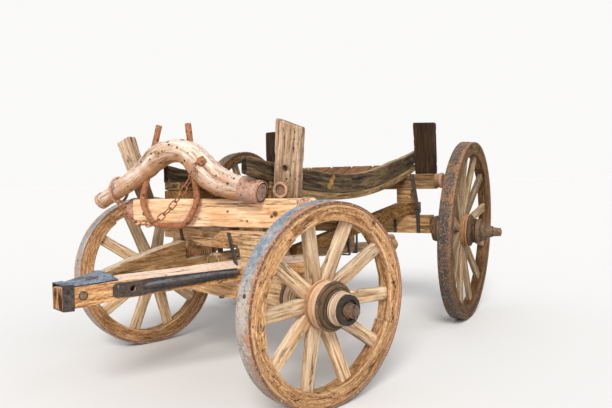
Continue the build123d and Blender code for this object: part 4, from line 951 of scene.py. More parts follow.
def build_wheel(corner):
    """One wheel: tyre, felloes, spokes, nave, its irons, end ring and tyre rivets."""
    look = bpy.context.scene.wagon_wheels
    kind = corner.split("_")[0]
    place = wheel_place(corner)
    seed = WHEEL_SEED[corner]
    radius, spokes, felloes, *leg_sizes = WHEEL_TABLE[kind]
    tyre_look, felloe_look, spoke_look, band_look, end_look, face_look = WHEEL_FINISH[kind]
    profile = NAVE_TABLE[kind]

    def nave_at(along):
        """The nave's radius at a distance along the axle, straight between its points."""
        return float(np.interp(along, *zip(*profile)))

    def ring(corners, round_to, number, **more):
        """A ring of the wheel, with its own number for chance."""
        return turned_ring(place, corners, round_to, seed + number, **more)

    def add(name, shells, slot, finish, *nodes):
        """One piece of the wheel, in place of the wheel's nodes of these names."""
        make_piece(f"{corner}_{name}", shells, finish, [f"{corner}_{node}" for node in nodes],
                   corner + "_wheel")

    inner_rim, outer_rim = radius + TYRE_HALF * CONE, radius - TYRE_HALF * CONE
    tread = [(-TYRE_HALF, inner_rim), (TYRE_HALF, outer_rim), (TYRE_HALF, outer_rim - TYRE_THICK),
             (-TYRE_HALF, inner_rim - TYRE_THICK)]
    tyre = ring(tread, look.tyre_round, 0, around=144, wear=1.0, wave=0.0, side=6)
    add("worn_tyre", [tyre], "tyre_iron", tyre_look, "tyre")
    rim = [felloe_skin(place, kind, i, radius, felloes, seed + 20 + i, look.felloe_round)
           for i in range(felloes)]
    add("sawn_felloes", rim, "felloe_wood", felloe_look, "felloes")
    legs = [spoke_skin(place, 2 * math.pi / spokes * (i + 0.5), nave_at(0), radius - TYRE_THICK - SPOKE_END,
                       *leg_sizes, DISH[kind], seed + 40 + i, look.spoke_round) for i in range(spokes)]
    add("hewn_spokes", legs, "spoke_wood", spoke_look, "spokes")

    end = profile[-1][0]
    band_end = BAND_END[kind]
    collar = end - RING_LONG[kind]
    band = [(profile[0][0], BORE)] + [p for p in profile if p[0] < band_end]
    band = band + [(band_end, nave_at(band_end)), (band_end, BORE)]
    add("turned_nave", [ring(band, 3.0, 70, wear=1.4, wave=1.2, side=5)], "nave_wood", band_look, "nave")
    taper = [(band_end + 0.2, BORE), (band_end + 0.2, nave_at(band_end) - 5)]
    taper = taper + [p for p in profile if band_end + 4 < p[0] < collar]
    taper = taper + [(collar, nave_at(collar) - 2), (collar, BORE)]
    add("nave_taper", [ring(taper, 3.0, 72, wear=1.4, wave=1.4, side=6)], "nave_wood", "nave")
    rim_r = nave_at(end) + 1.0
    end_ring = [(collar + 0.2, BORE), (collar + 0.2, nave_at(collar) + 1.0), (end - 1, rim_r),
                (end - 1, BORE)]
    add("nave_end", [ring(end_ring, 2.5, 75, wear=1.4, wave=1.0)], "nave_wood", end_look)

    hoops = []
    for k, (a, b) in enumerate(HOOP_TABLE[kind]):
        low, high = nave_at(a), nave_at(b)
        hoop = [(a, low - 1), (b, high - 1), (b, high + 3.5), (a, low + 3.5)]
        hoops.append(ring(hoop, 1.6, 80 + k, wave=0.0))
    plate = [(end - 1, ARM_FIT), (end - 1, rim_r - 2.5), (end + 3, rim_r - 2.5), (end + 3, ARM_FIT)]
    hoops.append(ring(plate, 1.2, 90, wear=0.4, wave=0.0, part=0.1))
    add("nave_hoops", hoops, "rusty_iron", "hoop", "nave_irons")
    deep = FACE_DEEP[kind]
    face = [(end + 2.6, 38), (end + 2.6, rim_r - 2), (end + deep, rim_r - 4), (end + deep, 40)]
    faces = [ring(face, 1.6, 92, wear=0.5, wave=0.5)]
    if kind == "rear":
        pipe = [(end - 2, BORE), (end - 2, PIPE_RADIUS), (PIPE_END, PIPE_RADIUS - 3), (PIPE_END, BORE)]
        faces.append(ring(pipe, 1.6, 94, wear=0.5, wave=0.5))
    add("nave_face", faces, "black_iron", face_look)

    rivets = []
    for k in range(felloes):
        turn = 2 * math.pi / felloes * k + RIVET_START
        at_tread = reordered(spun(place, turn), (0, 2, 1), (0, 0, radius - 1.5))
        rivets.append(turned_plug(at_tread, RIVET_DOME, around=20))
    add("tyre_rivets", rivets, "tyre_iron", "black")


class WAGON_OT_build_wheels(bpy.types.Operator):
    """Build the four wheels around their axle arms"""

    bl_idname = "wagon.build_wheels"
    bl_label = "Wheels"

    def execute(self, context):
        for corner in ("front_left", "front_right", "rear_left", "rear_right"):
            build_wheel(corner)
        return {"FINISHED"}


# Fore-carriage

def bolt_head(place, radius, high, square=False):
    """A forged bolt head on a face: a low dome, or a square with a rounded top. place turns
    (across, out of the face, along) into metres."""
    if not square:
        return turned_plug(place, [(-1.0, radius), (high * 0.4, radius * 0.97), (high * 0.8, radius * 0.75),
                                   (high, radius * 0.35)], around=24)
    turn = circle(4) + math.pi / 4
    outline, _ = rounded(np.stack([np.cos(turn), np.sin(turn)], -1) * radius, radius * 0.25, 3, 3)
    rings = [np.stack([outline[:, 0] * share, np.full(len(outline), level), outline[:, 1] * share], -1)
             for level, share in ((-1.0, 1.0), (high * 0.7, 1.0), (high, 0.8))]
    return skin(place(np.stack(rings)))


def on_arm_side(forward, up, out, near):
    """A place on an arm's outer side: points are (along, out of the side, up), in millimetres."""
    def place(points):
        away = points[..., 1] + ARM_HALF + out
        base = np.array([forward, ARM_START - ARM_SLOPE * forward, up], float)
        ahead = np.array([math.cos(ARM_TURN), -math.sin(ARM_TURN), 0.0])
        beside = np.array([math.sin(ARM_TURN), math.cos(ARM_TURN), 0.0])
        local = base + points[..., :1] * ahead + away[..., None] * beside
        local = local + points[..., 2:3] * np.array([0, 0, 1.0])
        return carriage_place(local * np.array([1, 1 if near else -1, 1]))

    return place


class WAGON_OT_build_carriage(bpy.types.Operator):
    """Dress the steering fore-carriage and its drawbar"""

    bl_idname = "wagon.build_carriage"
    bl_label = "Fore-carriage and drawbar"

    def execute(self, context):
        body = "fore_carriage"
        dress_nodes([
            ("honey_wood", "carriage", 0.005, "front_axle_bed", "sand_board"),
            ("honey_wood", "carriage", 0.004, "carriage_posts", "sway_bar"),
            ("honey_wood", "arm", 0.004, "drawbar_arm_left"),
            ("honey_wood", "far_arm", 0.004, "drawbar_arm_right"),
            ("black_iron", "black", 0.002, "drawbar_straps"),
            ("black_iron", "black", 0.0015, "carriage_clips"),
            ("black_iron", "blue_plate", 0.0015, "drawbar_nose_irons"),
            ("black_iron", "nut", 0.003, "front_axle_irons"),
        ], body)
        heads, washers, ribs = [], [], []
        # The ribs' line along the straps: distance ahead of the king pin, and height
        rise = [(465, 461), (420, 466), (300, 472), (155, 480), (58, 484)]
        line = smooth_line([(x, ARM_START - ARM_SLOPE * x + ARM_HALF + 3, z) for x, z in rise], 60)
        for near in (True, False):
            washer = [(-1, 18), (1.5, 17.5), (2.5, 16)]
            washers.append(turned_plug(on_arm_side(674, 450, 0, near), washer, around=28))
            heads.append(bolt_head(on_arm_side(674, 450, 1.5, near), 14.0, 5))
            heads.append(bolt_head(on_arm_side(546, 474, 7, near), 6.5, 4))
            heads.append(bolt_head(on_arm_side(250, 472, 7, near), 9, 5, square=True))
            ribs.append(limb(carriage_place, line * np.array([1, 1 if near else -1, 1]),
                             [6, 14, 17, 18, 17, 15, 11], 51, around=20, wave=0.5, side_on=(0, 0, 1)))
        make_piece("drawbar_bolt_heads", heads, "nut", body=body)
        make_piece("drawbar_washers", washers, "black", body=body)
        make_piece("drawbar_strap_ribs", ribs, "black", body=body, sharp=60)
        return {"FINISHED"}


# Bolsters, stakes, hind gear

STAKE_THICK = 50
STAKE_ROWS = 46
REAR_TOP = 895


class WAGON_OT_build_bolsters(bpy.types.Operator):
    """Build the front bolster with its turned ends, the ferrules and the stakes"""

    bl_idname = "wagon.build_bolsters"
    bl_label = "Bolsters and stakes"

    def execute(self, context):
        across = reordered(wagon_place, (1, 0, 2), (WHEELBASE, 0, 0))
        square = [(-BOLSTER_HALF, BOLSTER_BOTTOM), (BOLSTER_HALF, BOLSTER_BOTTOM),
                  (BOLSTER_HALF, BOLSTER_TOP), (-BOLSTER_HALF, BOLSTER_TOP)]
        beam = worn_beam(across, [-475, 440], [square, square], 7, 31, rows=90, wear=2.4, wave=1.4, bevel=6,
                         side=7, part=0.6)
        ends = []
        for start, end in ((436, 502), (-471, -523)):
            line = [(WHEELBASE, start + (end - start) * t, 746) for t in np.linspace(0, 1, 8)]
            ends.append(limb(wagon_place, line, [54, 54, 54, 54, 54, 53.5, 52.5, 49], 33, around=48,
                             wave=0.4, part=0.6))
        make_piece("front_bolster_beam", [beam] + ends, "bolster", ["front_bolster"])

        x = WHEELBASE - 20
        near = slanted_stake((308, 428), (330, 452), BOLSTER_TOP, (348, 305), x, 41)
        far = slanted_stake((-473, -402), (-599, -514), BOLSTER_TOP, (282, 311), x, 43)
        piece = make_piece("front_stake_boards", [near, far], "stake", ["front_stakes"])
        bore_through(piece, wagon_place([x + STAKE_THICK / 2, 372, 930]), 0.0145, 0.08)
        left = slanted_stake((486, 617), (474, 613), REAR_TOP, (325, 319), -STAKE_THICK / 2, 45)
        right = slanted_stake((-617, -486), (-613, -474), REAR_TOP, (319, 325), -STAKE_THICK / 2, 47)
        make_piece("rear_stake_boards", [left, right], "dark_stake", ["rear_stakes"])
        dress_nodes([
            ("rusty_iron", "pale_rust", 0.001, "bolster_ferrules"),
            ("brown_wood", "hind", 0.005, "rear_bolster"),
            ("brown_wood", "block", 0.005, "rear_axle_bed"),
            ("brown_wood", "block", 0.003, "rear_blocks"),
            ("brown_wood", "hound", 0.005, "rear_hound_left", "rear_hound_right"),
            ("black_iron", "black", 0.0015, "rear_clips"),
            ("black_iron", "nut", 0.003, "rear_axle_irons"),
            ("black_iron", "hoop", 0.0015, "king_pin"),
            ("brown_wood", "hound", 0.004, "bed_packing"),
        ])
        return {"FINISHED"}


def slanted_stake(foot, top, foot_height, rises, x, seed):
    """A stake split from a board: its two edges run straight from foot to top, and its top is cut
    on a slant. Rows of the section are level at the foot and tilt to the slant at the top."""
    share = np.linspace(0, 1, STAKE_ROWS)
    left = foot[0] + (top[0] - foot[0]) * share
    right = foot[1] + (top[1] - foot[1]) * share
    back = x + STAKE_THICK
    section, near = rounded(corner_rows((left, x), (right, x), (right, back), (left, back)), 5, side=6)
    span = (section[..., 0] - left[:, None]) / (right - left)[:, None]
    height = foot_height + share[:, None] * (rises[0] + (rises[1] - rises[0]) * span)
    outward = section - section.mean(axis=1, keepdims=True)
    reach = np.linalg.norm(outward, axis=-1, keepdims=True)
    chip = 4.0 * near * chips(height, section[..., 0], seed, 22)
    drawn = np.zeros((STAKE_ROWS, 1))
    drawn[[0, -1]] = 4.0
    push = chip + drawn + 0.5 * (1 + waviness(height, reach[..., 0], seed + 1, 60))
    section = section - outward / reach * push[..., None]
    upright = reordered(wagon_place, (2, 1, 0))
    made = skin(upright(np.concatenate([height[..., None], section], axis=-1)), near)
    made.part = np.random.RandomState(seed).uniform(0.4, 0.7)
    return made


def bore_through(piece, centre, radius, length):
    """A round hole cut forward through a finished piece by a short turned plug, in metres."""
    ways = np.array([[0, -1, 0], [1, 0, 0], [0, 0, 1.0]])
    ends = [(-length / 2, radius), (length / 2, radius)]
    cutter = turned_plug(lambda points: centre + points @ ways, ends, around=28)
    mesh = bpy.data.meshes.new("bore")
    mesh.from_pydata(cutter.points.tolist(), [], cutter.quads.tolist() + cutter.tris.tolist())
    tool = bpy.data.objects.new("bore", mesh)
    bpy.context.scene.collection.objects.link(tool)
    cut = piece.modifiers.new("bore", "BOOLEAN")
    cut.object = tool
    cut.operation = "DIFFERENCE"
    cut.solver = "EXACT"
    bpy.context.view_layer.update()
    graph = bpy.context.evaluated_depsgraph_get()
    result = bpy.data.meshes.new_from_object(piece.evaluated_get(graph), preserve_all_data_layers=True,
                                             depsgraph=graph)
    piece.modifiers.clear()
    piece.data = result
    bpy.data.objects.remove(tool)


# Bed

BED_BACK = -105
BED_FRONT = WHEELBASE + 189
BED_HALF_BACK = 465
BED_HALF_FRONT = 285
STAVE_BACK = -95
STAVE_FRONT = WHEELBASE + 29
STAVE_THICK = 36
BOARD_THICK = 34
# The bed's seats on the rear bolster and on the packing, with a low place between them
BED_LINE = [(0.0, 893.0), (WHEELBASE - 771, 772.0), (WHEELBASE, 836.0)]
# Distance ahead of the rear axle, and a side board's lower and upper edge over the bed's underside
SIDE_TABLE = [
    (BED_BACK, 49, 123), (WHEELBASE - 1221, 54, 146), (WHEELBASE - 941, 39, 137),
    (WHEELBASE - 701, 36.5, 133), (WHEELBASE - 461, 39, 138), (WHEELBASE - 211, 40, 135),
    (WHEELBASE + 134, 29, 110), (BED_FRONT, 26, 98),
]


def bed_height(x):
    """The bed's underside, the circle through the three places of BED_LINE."""
    (x1, z1), (x2, z2), (x3, z3) = BED_LINE
    d = 2 * (x1 * (z2 - z3) + x2 * (z3 - z1) + x3 * (z1 - z2))
    s1, s2, s3 = x1 * x1 + z1 * z1, x2 * x2 + z2 * z2, x3 * x3 + z3 * z3
    cx = (s1 * (z2 - z3) + s2 * (z3 - z1) + s3 * (z1 - z2)) / d
    cz = (s1 * (x3 - x2) + s2 * (x1 - x3) + s3 * (x2 - x1)) / d
    r = math.hypot(x1 - cx, z1 - cz)
    return cz - np.sqrt(r * r - (np.asarray(x) - cx) ** 2)


def bed_edge(x):
    """How far the bed's outer line is from the middle, straight from back to front."""
    share = (np.asarray(x, float) - BED_BACK) / (BED_FRONT - BED_BACK)
    return BED_HALF_BACK + (BED_HALF_FRONT - BED_HALF_BACK) * share


class WAGON_OT_build_bed(bpy.types.Operator):
    """Build the bent staves and the two side boards"""

    bl_idname = "wagon.build_bed"
    bl_label = "Bed"

    def execute(self, context):
        x = np.linspace(STAVE_BACK, STAVE_FRONT, 26)
        low = bed_height(x)
        high = low + STAVE_THICK
        for k in range(6):
            left = bed_edge(x) * (-1 + (k + 1) / 3) - 4
            right = bed_edge(x) * (-1 + k / 3) + 4
            corners = corner_rows((right, low), (left, low), (left, high), (right, high))
            stave = worn_beam(wagon_place, x, corners, 6, 60 + k, rows=90, wear=2.0, wave=1.2, side=4)
            make_piece(f"bed_stave_{k + 1}", [stave],
                       "pale_stave" if k in (0, 5) else "dark_stave", ["bed_staves"])
        places, lower, upper = zip(*SIDE_TABLE)
        for side, sign, front, seed in (("left", 1, BED_FRONT, 71), ("right", -1, STAVE_FRONT, 73)):
            x = np.linspace(BED_BACK, front, 40)
            low = bed_height(x) + smooth_table(places, lower, x)
            high = bed_height(x) + smooth_table(places, upper, x)
            outer = bed_edge(x) * sign
            inner = (bed_edge(x) - BOARD_THICK) * sign
            corners = corner_rows((inner, low), (outer, low), (outer, high), (inner, high))
            board = worn_beam(wagon_place, x, corners, 6, seed, rows=110, wear=2.4, wave=1.2, bevel=5,
                              side=6)
            make_piece(f"side_plank_{side}", [board], "board", [f"side_board_{side}"])
        return {"FINISHED"}


def smooth_table(places, values, at):
    """Values between a table's places, along the smooth line through them."""
    line = smooth_line(np.stack([places, values], -1), 200)
    return np.interp(at, line[:, 0], line[:, 1])


# Reach pole

REACH_TAIL = -795
REACH_FRONT = WHEELBASE + 62
REACH_SLOPE = 0.0733
REACH_AT_PIN = 512


class WAGON_OT_build_reach(bpy.types.Operator):
    """Build the reach pole, a round timber with a knobby root end"""

    bl_idname = "wagon.build_reach"
    bl_label = "Reach pole"

    def execute(self, context):
        def height(x):
            return REACH_AT_PIN - REACH_SLOPE * (WHEELBASE - x)

        x = np.linspace(REACH_FRONT, REACH_TAIL, 110)
        share = (x - x[-1]) / (x[0] - x[-1])
        pole = limb(wagon_place, np.stack([x, 0 * x, height(x)], -1), 34 + 3 * share - 0.8, 81, around=40,
                    wave=0.5, lumps=0.3, side_on=(0, 1, 0), part=0.55)
        tail = height(REACH_TAIL)
        knob = lump(wagon_place, (REACH_TAIL, 24, tail), 52, 54, 6, (0.3, 2.85), 20, 83, around=40, wave=1.0,
                    lumps=2.0, part=0.7)
        burl = lump(wagon_place, (REACH_TAIL, 24, tail + 52), 30, 31, 5, (0.35, 2.8), 14, 85, around=30,
                    wave=0.6, lumps=1.2, part=0.7)
        make_piece("reach_timber", [pole, knob, burl], "reach", ["reach_pole"])
        return {"FINISHED"}


# Yoke, bow and chain

YOKE_TIP = (292, 828)
# The branch's middle line, as pairs of distance left and height, with its girth and its tallness
YOKE_SPINE = [
    (-655, 787), (-560, 833), (-440, 893), (-360, 940), (-300, 984), (-250, 1010), (-205, 1021),
    (-165, 1024), (-110, 1016), (-60, 984), (-12, 936), (52, 890), (122, 861), (205, 846), YOKE_TIP,
]
YOKE_GIRTH = [36, 39, 43, 47, 51, 52, 51, 51, 51, 51, 52, 53, 53, 51, 48]
YOKE_TALL = [1, 1.04, 1.08, 1.12, 1.17, 1.15, 1.1, 1.09, 1.15, 1.28, 1.34, 1.28, 1.12, 1.02, 1]
# The branch's cut stubs: distance left, height, distance ahead, radius and the way each grows
UPWARD, AHEAD = (0.0, 0.0, 13.0), (7.0, 0.0, 4.0)
YOKE_STUBS = [(-24, 1012, 14.0, 19, UPWARD), (-121, 1034, 32.2, 9, AHEAD), (-290, 1018, 21.0, 15, UPWARD),
              (60, 905, 35.0, 8, AHEAD)]
BOW_FOOT = 655 + 21
BOW_CORNERS = [(-262, 1146), (-384, 790), (-322, BOW_FOOT), (-122, BOW_FOOT), (-52, 790), (-94, 1146)]
BOW_BEND = 88
# A chain link's bend and how far its middle line's bend stays from the link's end, in metres
LINK_BEND = 0.0128
LINK_END = 0.016


class WAGON_OT_build_yoke(bpy.types.Operator):
    """Build the bent branch of the yoke with its bow, ferrules and ring"""

    bl_idname = "wagon.build_yoke"
    bl_label = "Yoke and bow"

    def execute(self, context):
        line = smooth_line([(YOKE_X, y, z) for y, z in YOKE_SPINE], 150)
        beam = limb(wagon_place, line, smooth_values(YOKE_GIRTH, 150) - 1.2, 91, around=56, wave=2.2,
                    lumps=2.2, part=0.6, tall=smooth_values(YOKE_TALL, 150))
        flatten_against(beam, PIN_X + (BOLSTER_HALF + 0.3) * MM, (BOLSTER_TOP + 3) * MM)
        stubs = []
        for y, z, out, size, way in YOKE_STUBS:
            base = np.array([YOKE_X + out, y, z], float)
            line = smooth_line([base - way, base, base + way], 10)
            stubs.append(limb(wagon_place, line, [size, size, size * 0.8], 93, around=20, lumps=1.2,
                              side_on=(0, 1, 0), part=0.3))
        knob = lump(wagon_place, (YOKE_X + 46, 12, 968), 20, 22, 3, (0.3, 2.85), 16, 97, around=28, wave=1.5,
                    lumps=3.0)
        make_piece("yoke_knob", [knob], "rust", sharp=60)
        ending = unit(np.subtract(YOKE_TIP, YOKE_SPINE[-2]))

        def at_tip(points):
            """Rings round the branch's right end: (forward, along the branch, square to both)."""
            y = YOKE_TIP[0] + points[..., 1] * ending[0] - points[..., 2] * ending[1]
            z = YOKE_TIP[1] + points[..., 1] * ending[1] + points[..., 2] * ending[0]
            return wagon_place(np.stack([YOKE_X + points[..., 0], y, z], -1))

        # A dark ring at the branch's right end: painted shade in the gap there.
        shade_ring = turned_ring(at_tip, [(-2, 38), (1.2, 38), (1.2, 44), (-2, 44)], 0.6, 99, around=60, wear=1.5,
                          wave=3.0)
        make_piece("yoke_end_shade_ring", [shade_ring], "dark")
        make_piece("yoke_branch", [beam] + stubs, "yoke", ["yoke_beam"], sharp=60)
        bow = limb(wagon_place, [(YOKE_X, y, z) for y, z in filleted(BOW_CORNERS, BOW_BEND, 12)], [14.6], 95,
                   around=24, wave=0.5, lumps=0.35)
        make_piece("yoke_bow_rod", [bow], "rust", ["yoke_bow"], sharp=60)
        dress_nodes([("rusty_iron", "pale_rust", 0.0008, "yoke_irons")])
        return {"FINISHED"}


def smooth_values(values, count):
    """Values spread evenly along a piece, along the smooth line through them."""
    line = smooth_line(np.stack([np.arange(len(values)), values], -1), count)
    return line[:, 1]


def flatten_against(shell, x, height):
    """Points of a skin that reach behind a plane across the wagon, up to a height, are set on it."""
    low = shell.points[:, 2] < height
    shell.points[low, 0] = np.maximum(shell.points[low, 0], x)


def filleted(corners, radius, steps):
    """A line through corners with each inner corner rounded by an arc, at evenly spread points."""
    corners = np.array(corners, float)
    points = [corners[0]]
    for a, c, b in zip(corners, corners[1:], corners[2:]):
        one, two = a - c, b - c
        half = math.acos(one @ two / np.linalg.norm(one) / np.linalg.norm(two)) / 2
        reach = radius / math.tan(half)
        middle = c + unit(unit(one) + unit(two)) * radius / math.sin(half)
        first, last = (math.atan2(*(c + unit(way) * reach - middle)[::-1]) for way in (one, two))
        turn = (last - first + math.pi) % (2 * math.pi) - math.pi
        for angle in first + turn * np.linspace(0, 1, steps):
            points.append(middle + radius * np.array([math.cos(angle), math.sin(angle)]))
    points.append(corners[-1])
    line = np.array(points)
    step = lengths(line)
    even = np.linspace(0, step[-1], 130)
    return np.stack([np.interp(even, step, line[:, k]) for k in (0, 1)], -1)


class WAGON_OT_build_chain(bpy.types.Operator):
    """Build the chain of forged links that hangs from the yoke"""

    bl_idname = "wagon.build_chain"
    bl_label = "Chain"

    def execute(self, context):
        look = bpy.context.scene.wagon_irons
        mesh = NODES["yoke_chain"].data
        places = np.zeros(len(mesh.vertices) * 3)
        mesh.vertices.foreach_get("co", places)
        turn = circle(40)
        links = []
        for centre, along, across, length, seed in link_frames(mesh, places.reshape(-1, 3)):
            run = np.cos(turn) * LINK_BEND + np.clip(np.cos(turn) * 3, -1, 1) * (length / 2 - LINK_END)
            rise = np.sin(turn) * LINK_BEND
            line = centre + run[:, None] * along + rise[:, None] * across
            links.append(limb(lambda points: points, line, [look.link_wire / 2], seed, around=12,
                              side_on=np.cross(along, across), loop=True))
        make_piece("forged_chain", links, "rust", ["yoke_chain"], sharp=70)
        return {"FINISHED"}


def link_frames(mesh, places):
    """Centre, length direction, width direction and length of each link. Corners within a hundredth
    of a millimetre are one corner. Each corner carries the smallest number seen among the corners
    that its edges reach, passed on until nothing changes, so each separate link ends with one
    number, and the spread of the corners with that number gives the link's directions."""
    _, corner = np.unique(np.round(places * 1e5).astype(np.int64), axis=0, return_inverse=True)
    corner = corner.reshape(-1)
    edges = np.zeros(len(mesh.edges) * 2, np.int32)
    mesh.edges.foreach_get("vertices", edges)
    ends = corner[edges.reshape(-1, 2)]
    label = np.arange(corner.max() + 1)
    before = None
    while before is None or not np.array_equal(before, label):
        before = label.copy()
        least = label[ends].min(axis=1)
        np.minimum.at(label, ends[:, 0], least)
        np.minimum.at(label, ends[:, 1], least)
        label = label[label]
    frames = []
    mine = label[corner]
    for number in np.unique(mine):
        points = np.unique(np.round(places[mine == number], 6), axis=0)
        centre = points.mean(axis=0)
        _, _, axes = np.linalg.svd(points - centre, full_matrices=False)
        length = np.ptp((points - centre) @ axes[0])
        frames.append((centre, axes[0], axes[1], length, 300 + len(frames)))
    return frames


# Stage

# The light that falls on things and the one that the camera and shiny irons see
ROOM_COLOUR = (1.0, 0.985, 0.965)
SEEN_COLOUR = (0.955, 0.95, 0.94)
# The camera's focal length in pixels of the photo, the photo's width and the camera's sensor
FOCAL_PIXELS = 620.737
PHOTO_WIDTH = 612
SENSOR_WIDTH = 36


def stood(name, data, side, up, back, place):
    """A lamp or camera in the scene, from the directions of its right, top and back."""
    made = bpy.data.objects.new(name, data)
    made.matrix_world = Matrix([(side[k], up[k], back[k], place[k]) for k in range(3)] + [(0, 0, 0, 1)])
    bpy.context.scene.collection.objects.link(made)
    return made


def sun(name, toward, strength, wide, colour):
    """A soft sun that shines from a direction, as many degrees wide as given."""
    data = bpy.data.lights.new(name, "SUN")
    data.energy = strength
    data.angle = math.radians(wide)
    data.color = colour
    back = unit(np.array(toward, float))
    side = unit(np.cross([0, 0, 1.0], back))
    stood(name, data, side, np.cross(back, side), back, (0, 0, 4))


class WAGON_OT_build_stage(bpy.types.Operator):
    """Set the pale floor, the soft suns, the world and the camera"""

    bl_idname = "wagon.build_stage"
    bl_label = "Floor, light and camera"

    def execute(self, context):
        look = context.scene.wagon_stage
        scene = context.scene
        paint = Painter("pale floor")
        paint.shader.inputs["Base Color"].default_value = (*look.floor_colour, 1.0)
        paint.shader.inputs["Roughness"].default_value = 0.9
        paint.shader.inputs["Specular IOR Level"].default_value = 0.2
        mesh = bpy.data.meshes.new("floor")
        size = look.floor_size
        corners = [(-size, -size, 0), (size, -size, 0), (size, size, 0), (-size, size, 0)]
        mesh.from_pydata(corners, [], [(0, 1, 2, 3)])
        mesh.materials.append(paint.material)
        floor = bpy.data.objects.new("floor", mesh)
        scene.collection.objects.link(floor)
        sun("key", (0.80, 0.30, 0.62), look.key_strength, 22.0, (1.0, 0.97, 0.92))
        sun("fill", (0.15, 0.92, 0.42), look.fill_strength, 60.0, (1.0, 0.98, 0.97))

        world = bpy.data.worlds.new("pale room")
        world.use_nodes = True
        tree = world.node_tree
        tree.nodes.clear()
        path = tree.nodes.new("ShaderNodeLightPath")
        either = tree.nodes.new("ShaderNodeMath")
        either.operation = "MAXIMUM"
        both = tree.nodes.new("ShaderNodeMixShader")
        out = tree.nodes.new("ShaderNodeOutputWorld")
        wires = [(path.outputs["Is Camera Ray"], either.inputs[0]),
                 (path.outputs["Is Glossy Ray"], either.inputs[1]),
                 (either.outputs[0], both.inputs[0]), (both.outputs[0], out.inputs[0])]
        for target, colour, strength in ((1, ROOM_COLOUR, look.room_light), (2, SEEN_COLOUR, 1.0)):
            glow = tree.nodes.new("ShaderNodeBackground")
            glow.inputs["Color"].default_value = (*colour, 1.0)
            glow.inputs["Strength"].default_value = strength
            wires.append((glow.outputs[0], both.inputs[target]))
        for source, target in wires:
            tree.links.new(source, target)
        scene.world = world

        data = bpy.data.cameras.new("camera")
        data.sensor_width = SENSOR_WIDTH
        data.sensor_fit = "HORIZONTAL"
        data.lens = look.focal_length
        yaw, pitch, roll = (math.radians(v) for v in (look.camera_yaw, look.camera_pitch, look.camera_roll))
        way = np.array([math.cos(yaw) * math.cos(pitch), math.sin(yaw) * math.cos(pitch), -math.sin(pitch)])
        right = unit(np.cross(way, [0, 0, 1.0]))
        up = np.cross(right, way)
        side = math.cos(roll) * right + math.sin(roll) * up
        top = -math.sin(roll) * right + math.cos(roll) * up
        place = (look.camera_ahead + REAR_X, look.camera_left, look.camera_height)
        scene.camera = stood("camera", data, side, top, -way, place)
        scene.view_settings.view_transform = "Standard"
        return {"FINISHED"}


class WAGON_OT_build_finishes(bpy.types.Operator):
    """Mix the finishes that the wagon's pieces are painted with"""

    bl_idname = "wagon.build_finishes"
    bl_label = "Finishes"

    def execute(self, context):
        FINISH.update(build_finishes())
        return {"FINISHED"}


# Sizes and colours that a user would change

class WagonWheels(bpy.types.PropertyGroup):
    """Sizes of the wheels' worn edges."""

    tyre_round: FloatProperty(
        name="Tyre rounding", description="Rounding of the tyre's rims in millimetres", default=3.2, min=0.2,
        max=4.8)
    felloe_round: FloatProperty(
        name="Felloe rounding", description="Rounding of the felloes' edges in millimetres", default=7.0,
        min=0.5, max=20)
    spoke_round: FloatProperty(
        name="Spoke rounding", description="Rounding of the spokes' edges in millimetres", default=10.0,
        min=0.5, max=16)


class WagonIrons(bpy.types.PropertyGroup):
    """Sizes of the small irons."""

    link_wire: FloatProperty(name="Link wire", description="Diameter of the chain's wire", default=0.0062,
                             min=0.002, max=0.008, unit="LENGTH")


class WagonFinish(bpy.types.PropertyGroup):
    """Colours of the finishes."""

    honey: FloatVectorProperty(name="Bolster wood", description="Middle tone of the front bolster's wood",
                               default=(0.79, 0.485, 0.265), size=3, subtype="COLOR", min=0, max=1)


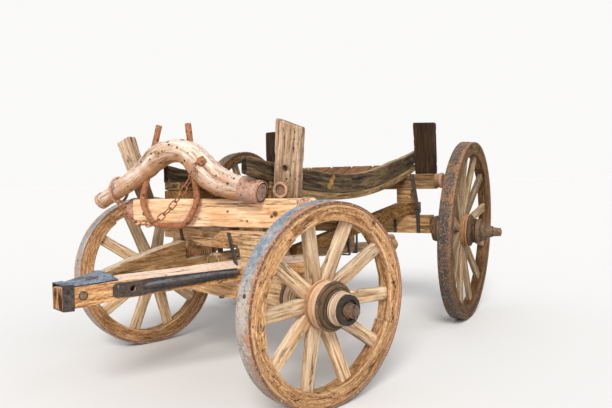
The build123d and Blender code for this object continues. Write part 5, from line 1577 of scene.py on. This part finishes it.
class WagonStage(bpy.types.PropertyGroup):
    """Floor, lamps and camera."""

    floor_size: FloatProperty(
        name="Floor half width", description="Half the floor's width", default=150.0, unit="LENGTH")
    floor_colour: FloatVectorProperty(
        name="Floor", description="Colour of the floor", default=(0.775, 0.785, 0.80), size=3,
        subtype="COLOR", min=0, max=1)
    key_strength: FloatProperty(
        name="Key sun", description="Strength of the sun from the front", default=2.75)
    fill_strength: FloatProperty(
        name="Fill sun", description="Strength of the sun from the left", default=0.75)
    room_light: FloatProperty(
        name="Room light", description="Strength of the light from all round", default=0.62)
    focal_length: FloatProperty(
        name="Focal length", description="Camera's focal length in millimetres",
        default=FOCAL_PIXELS * SENSOR_WIDTH / PHOTO_WIDTH)
    camera_ahead: FloatProperty(
        name="Camera ahead", description="Camera's distance ahead of the rear axle", default=3.8425,
        unit="LENGTH")
    camera_left: FloatProperty(
        name="Camera left", description="Camera's distance left of the middle", default=1.6942,
        unit="LENGTH")
    camera_height: FloatProperty(
        name="Camera height", description="Camera's height over the floor", default=0.8865, unit="LENGTH")
    camera_yaw: FloatProperty(
        name="Camera heading", description="Degrees round from forward", default=-152.43)
    camera_pitch: FloatProperty(
        name="Camera dip", description="Degrees below level", default=2.42)
    camera_roll: FloatProperty(
        name="Camera roll", description="Degrees of roll", default=-1.26)


OPERATORS = (
    WAGON_OT_build_finishes, WAGON_OT_build_wheels, WAGON_OT_build_carriage, WAGON_OT_build_bolsters,
    WAGON_OT_build_bed, WAGON_OT_build_reach, WAGON_OT_build_yoke, WAGON_OT_build_chain,
    WAGON_OT_build_stage,
)
GROUPS = (
    ("wagon_wheels", WagonWheels), ("wagon_irons", WagonIrons), ("wagon_finish", WagonFinish),
    ("wagon_stage", WagonStage),
)


class WAGON_PT_looks(bpy.types.Panel):
    """Lists the wagon's groups of pieces and their sizes"""

    bl_idname = "WAGON_PT_looks"
    bl_label = "Farm wagon"
    bl_space_type = "VIEW_3D"
    bl_region_type = "UI"
    bl_category = "Wagon"

    def draw(self, context):
        for operator in OPERATORS:
            self.layout.operator(operator.bl_idname)
        for name, group in GROUPS:
            box = self.layout.box()
            for key in group.__annotations__:
                box.prop(getattr(context.scene, name), key)


def register():
    """Add the classes and the scene's groups of sizes."""
    for name, group in GROUPS:
        bpy.utils.register_class(group)
        setattr(bpy.types.Scene, name, PointerProperty(type=group))
    for operator in OPERATORS:
        bpy.utils.register_class(operator)
    bpy.utils.register_class(WAGON_PT_looks)


def unregister():
    """Take everything away again."""
    bpy.utils.unregister_class(WAGON_PT_looks)
    for operator in reversed(OPERATORS):
        bpy.utils.unregister_class(operator)
    for name, group in reversed(GROUPS):
        delattr(bpy.types.Scene, name)
        bpy.utils.unregister_class(group)


def main():
    """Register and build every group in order."""
    register()
    for operator in OPERATORS:
        group, name = operator.bl_idname.split(".")
        getattr(getattr(bpy.ops, group), name)()


if __name__ == "__main__":
    main()
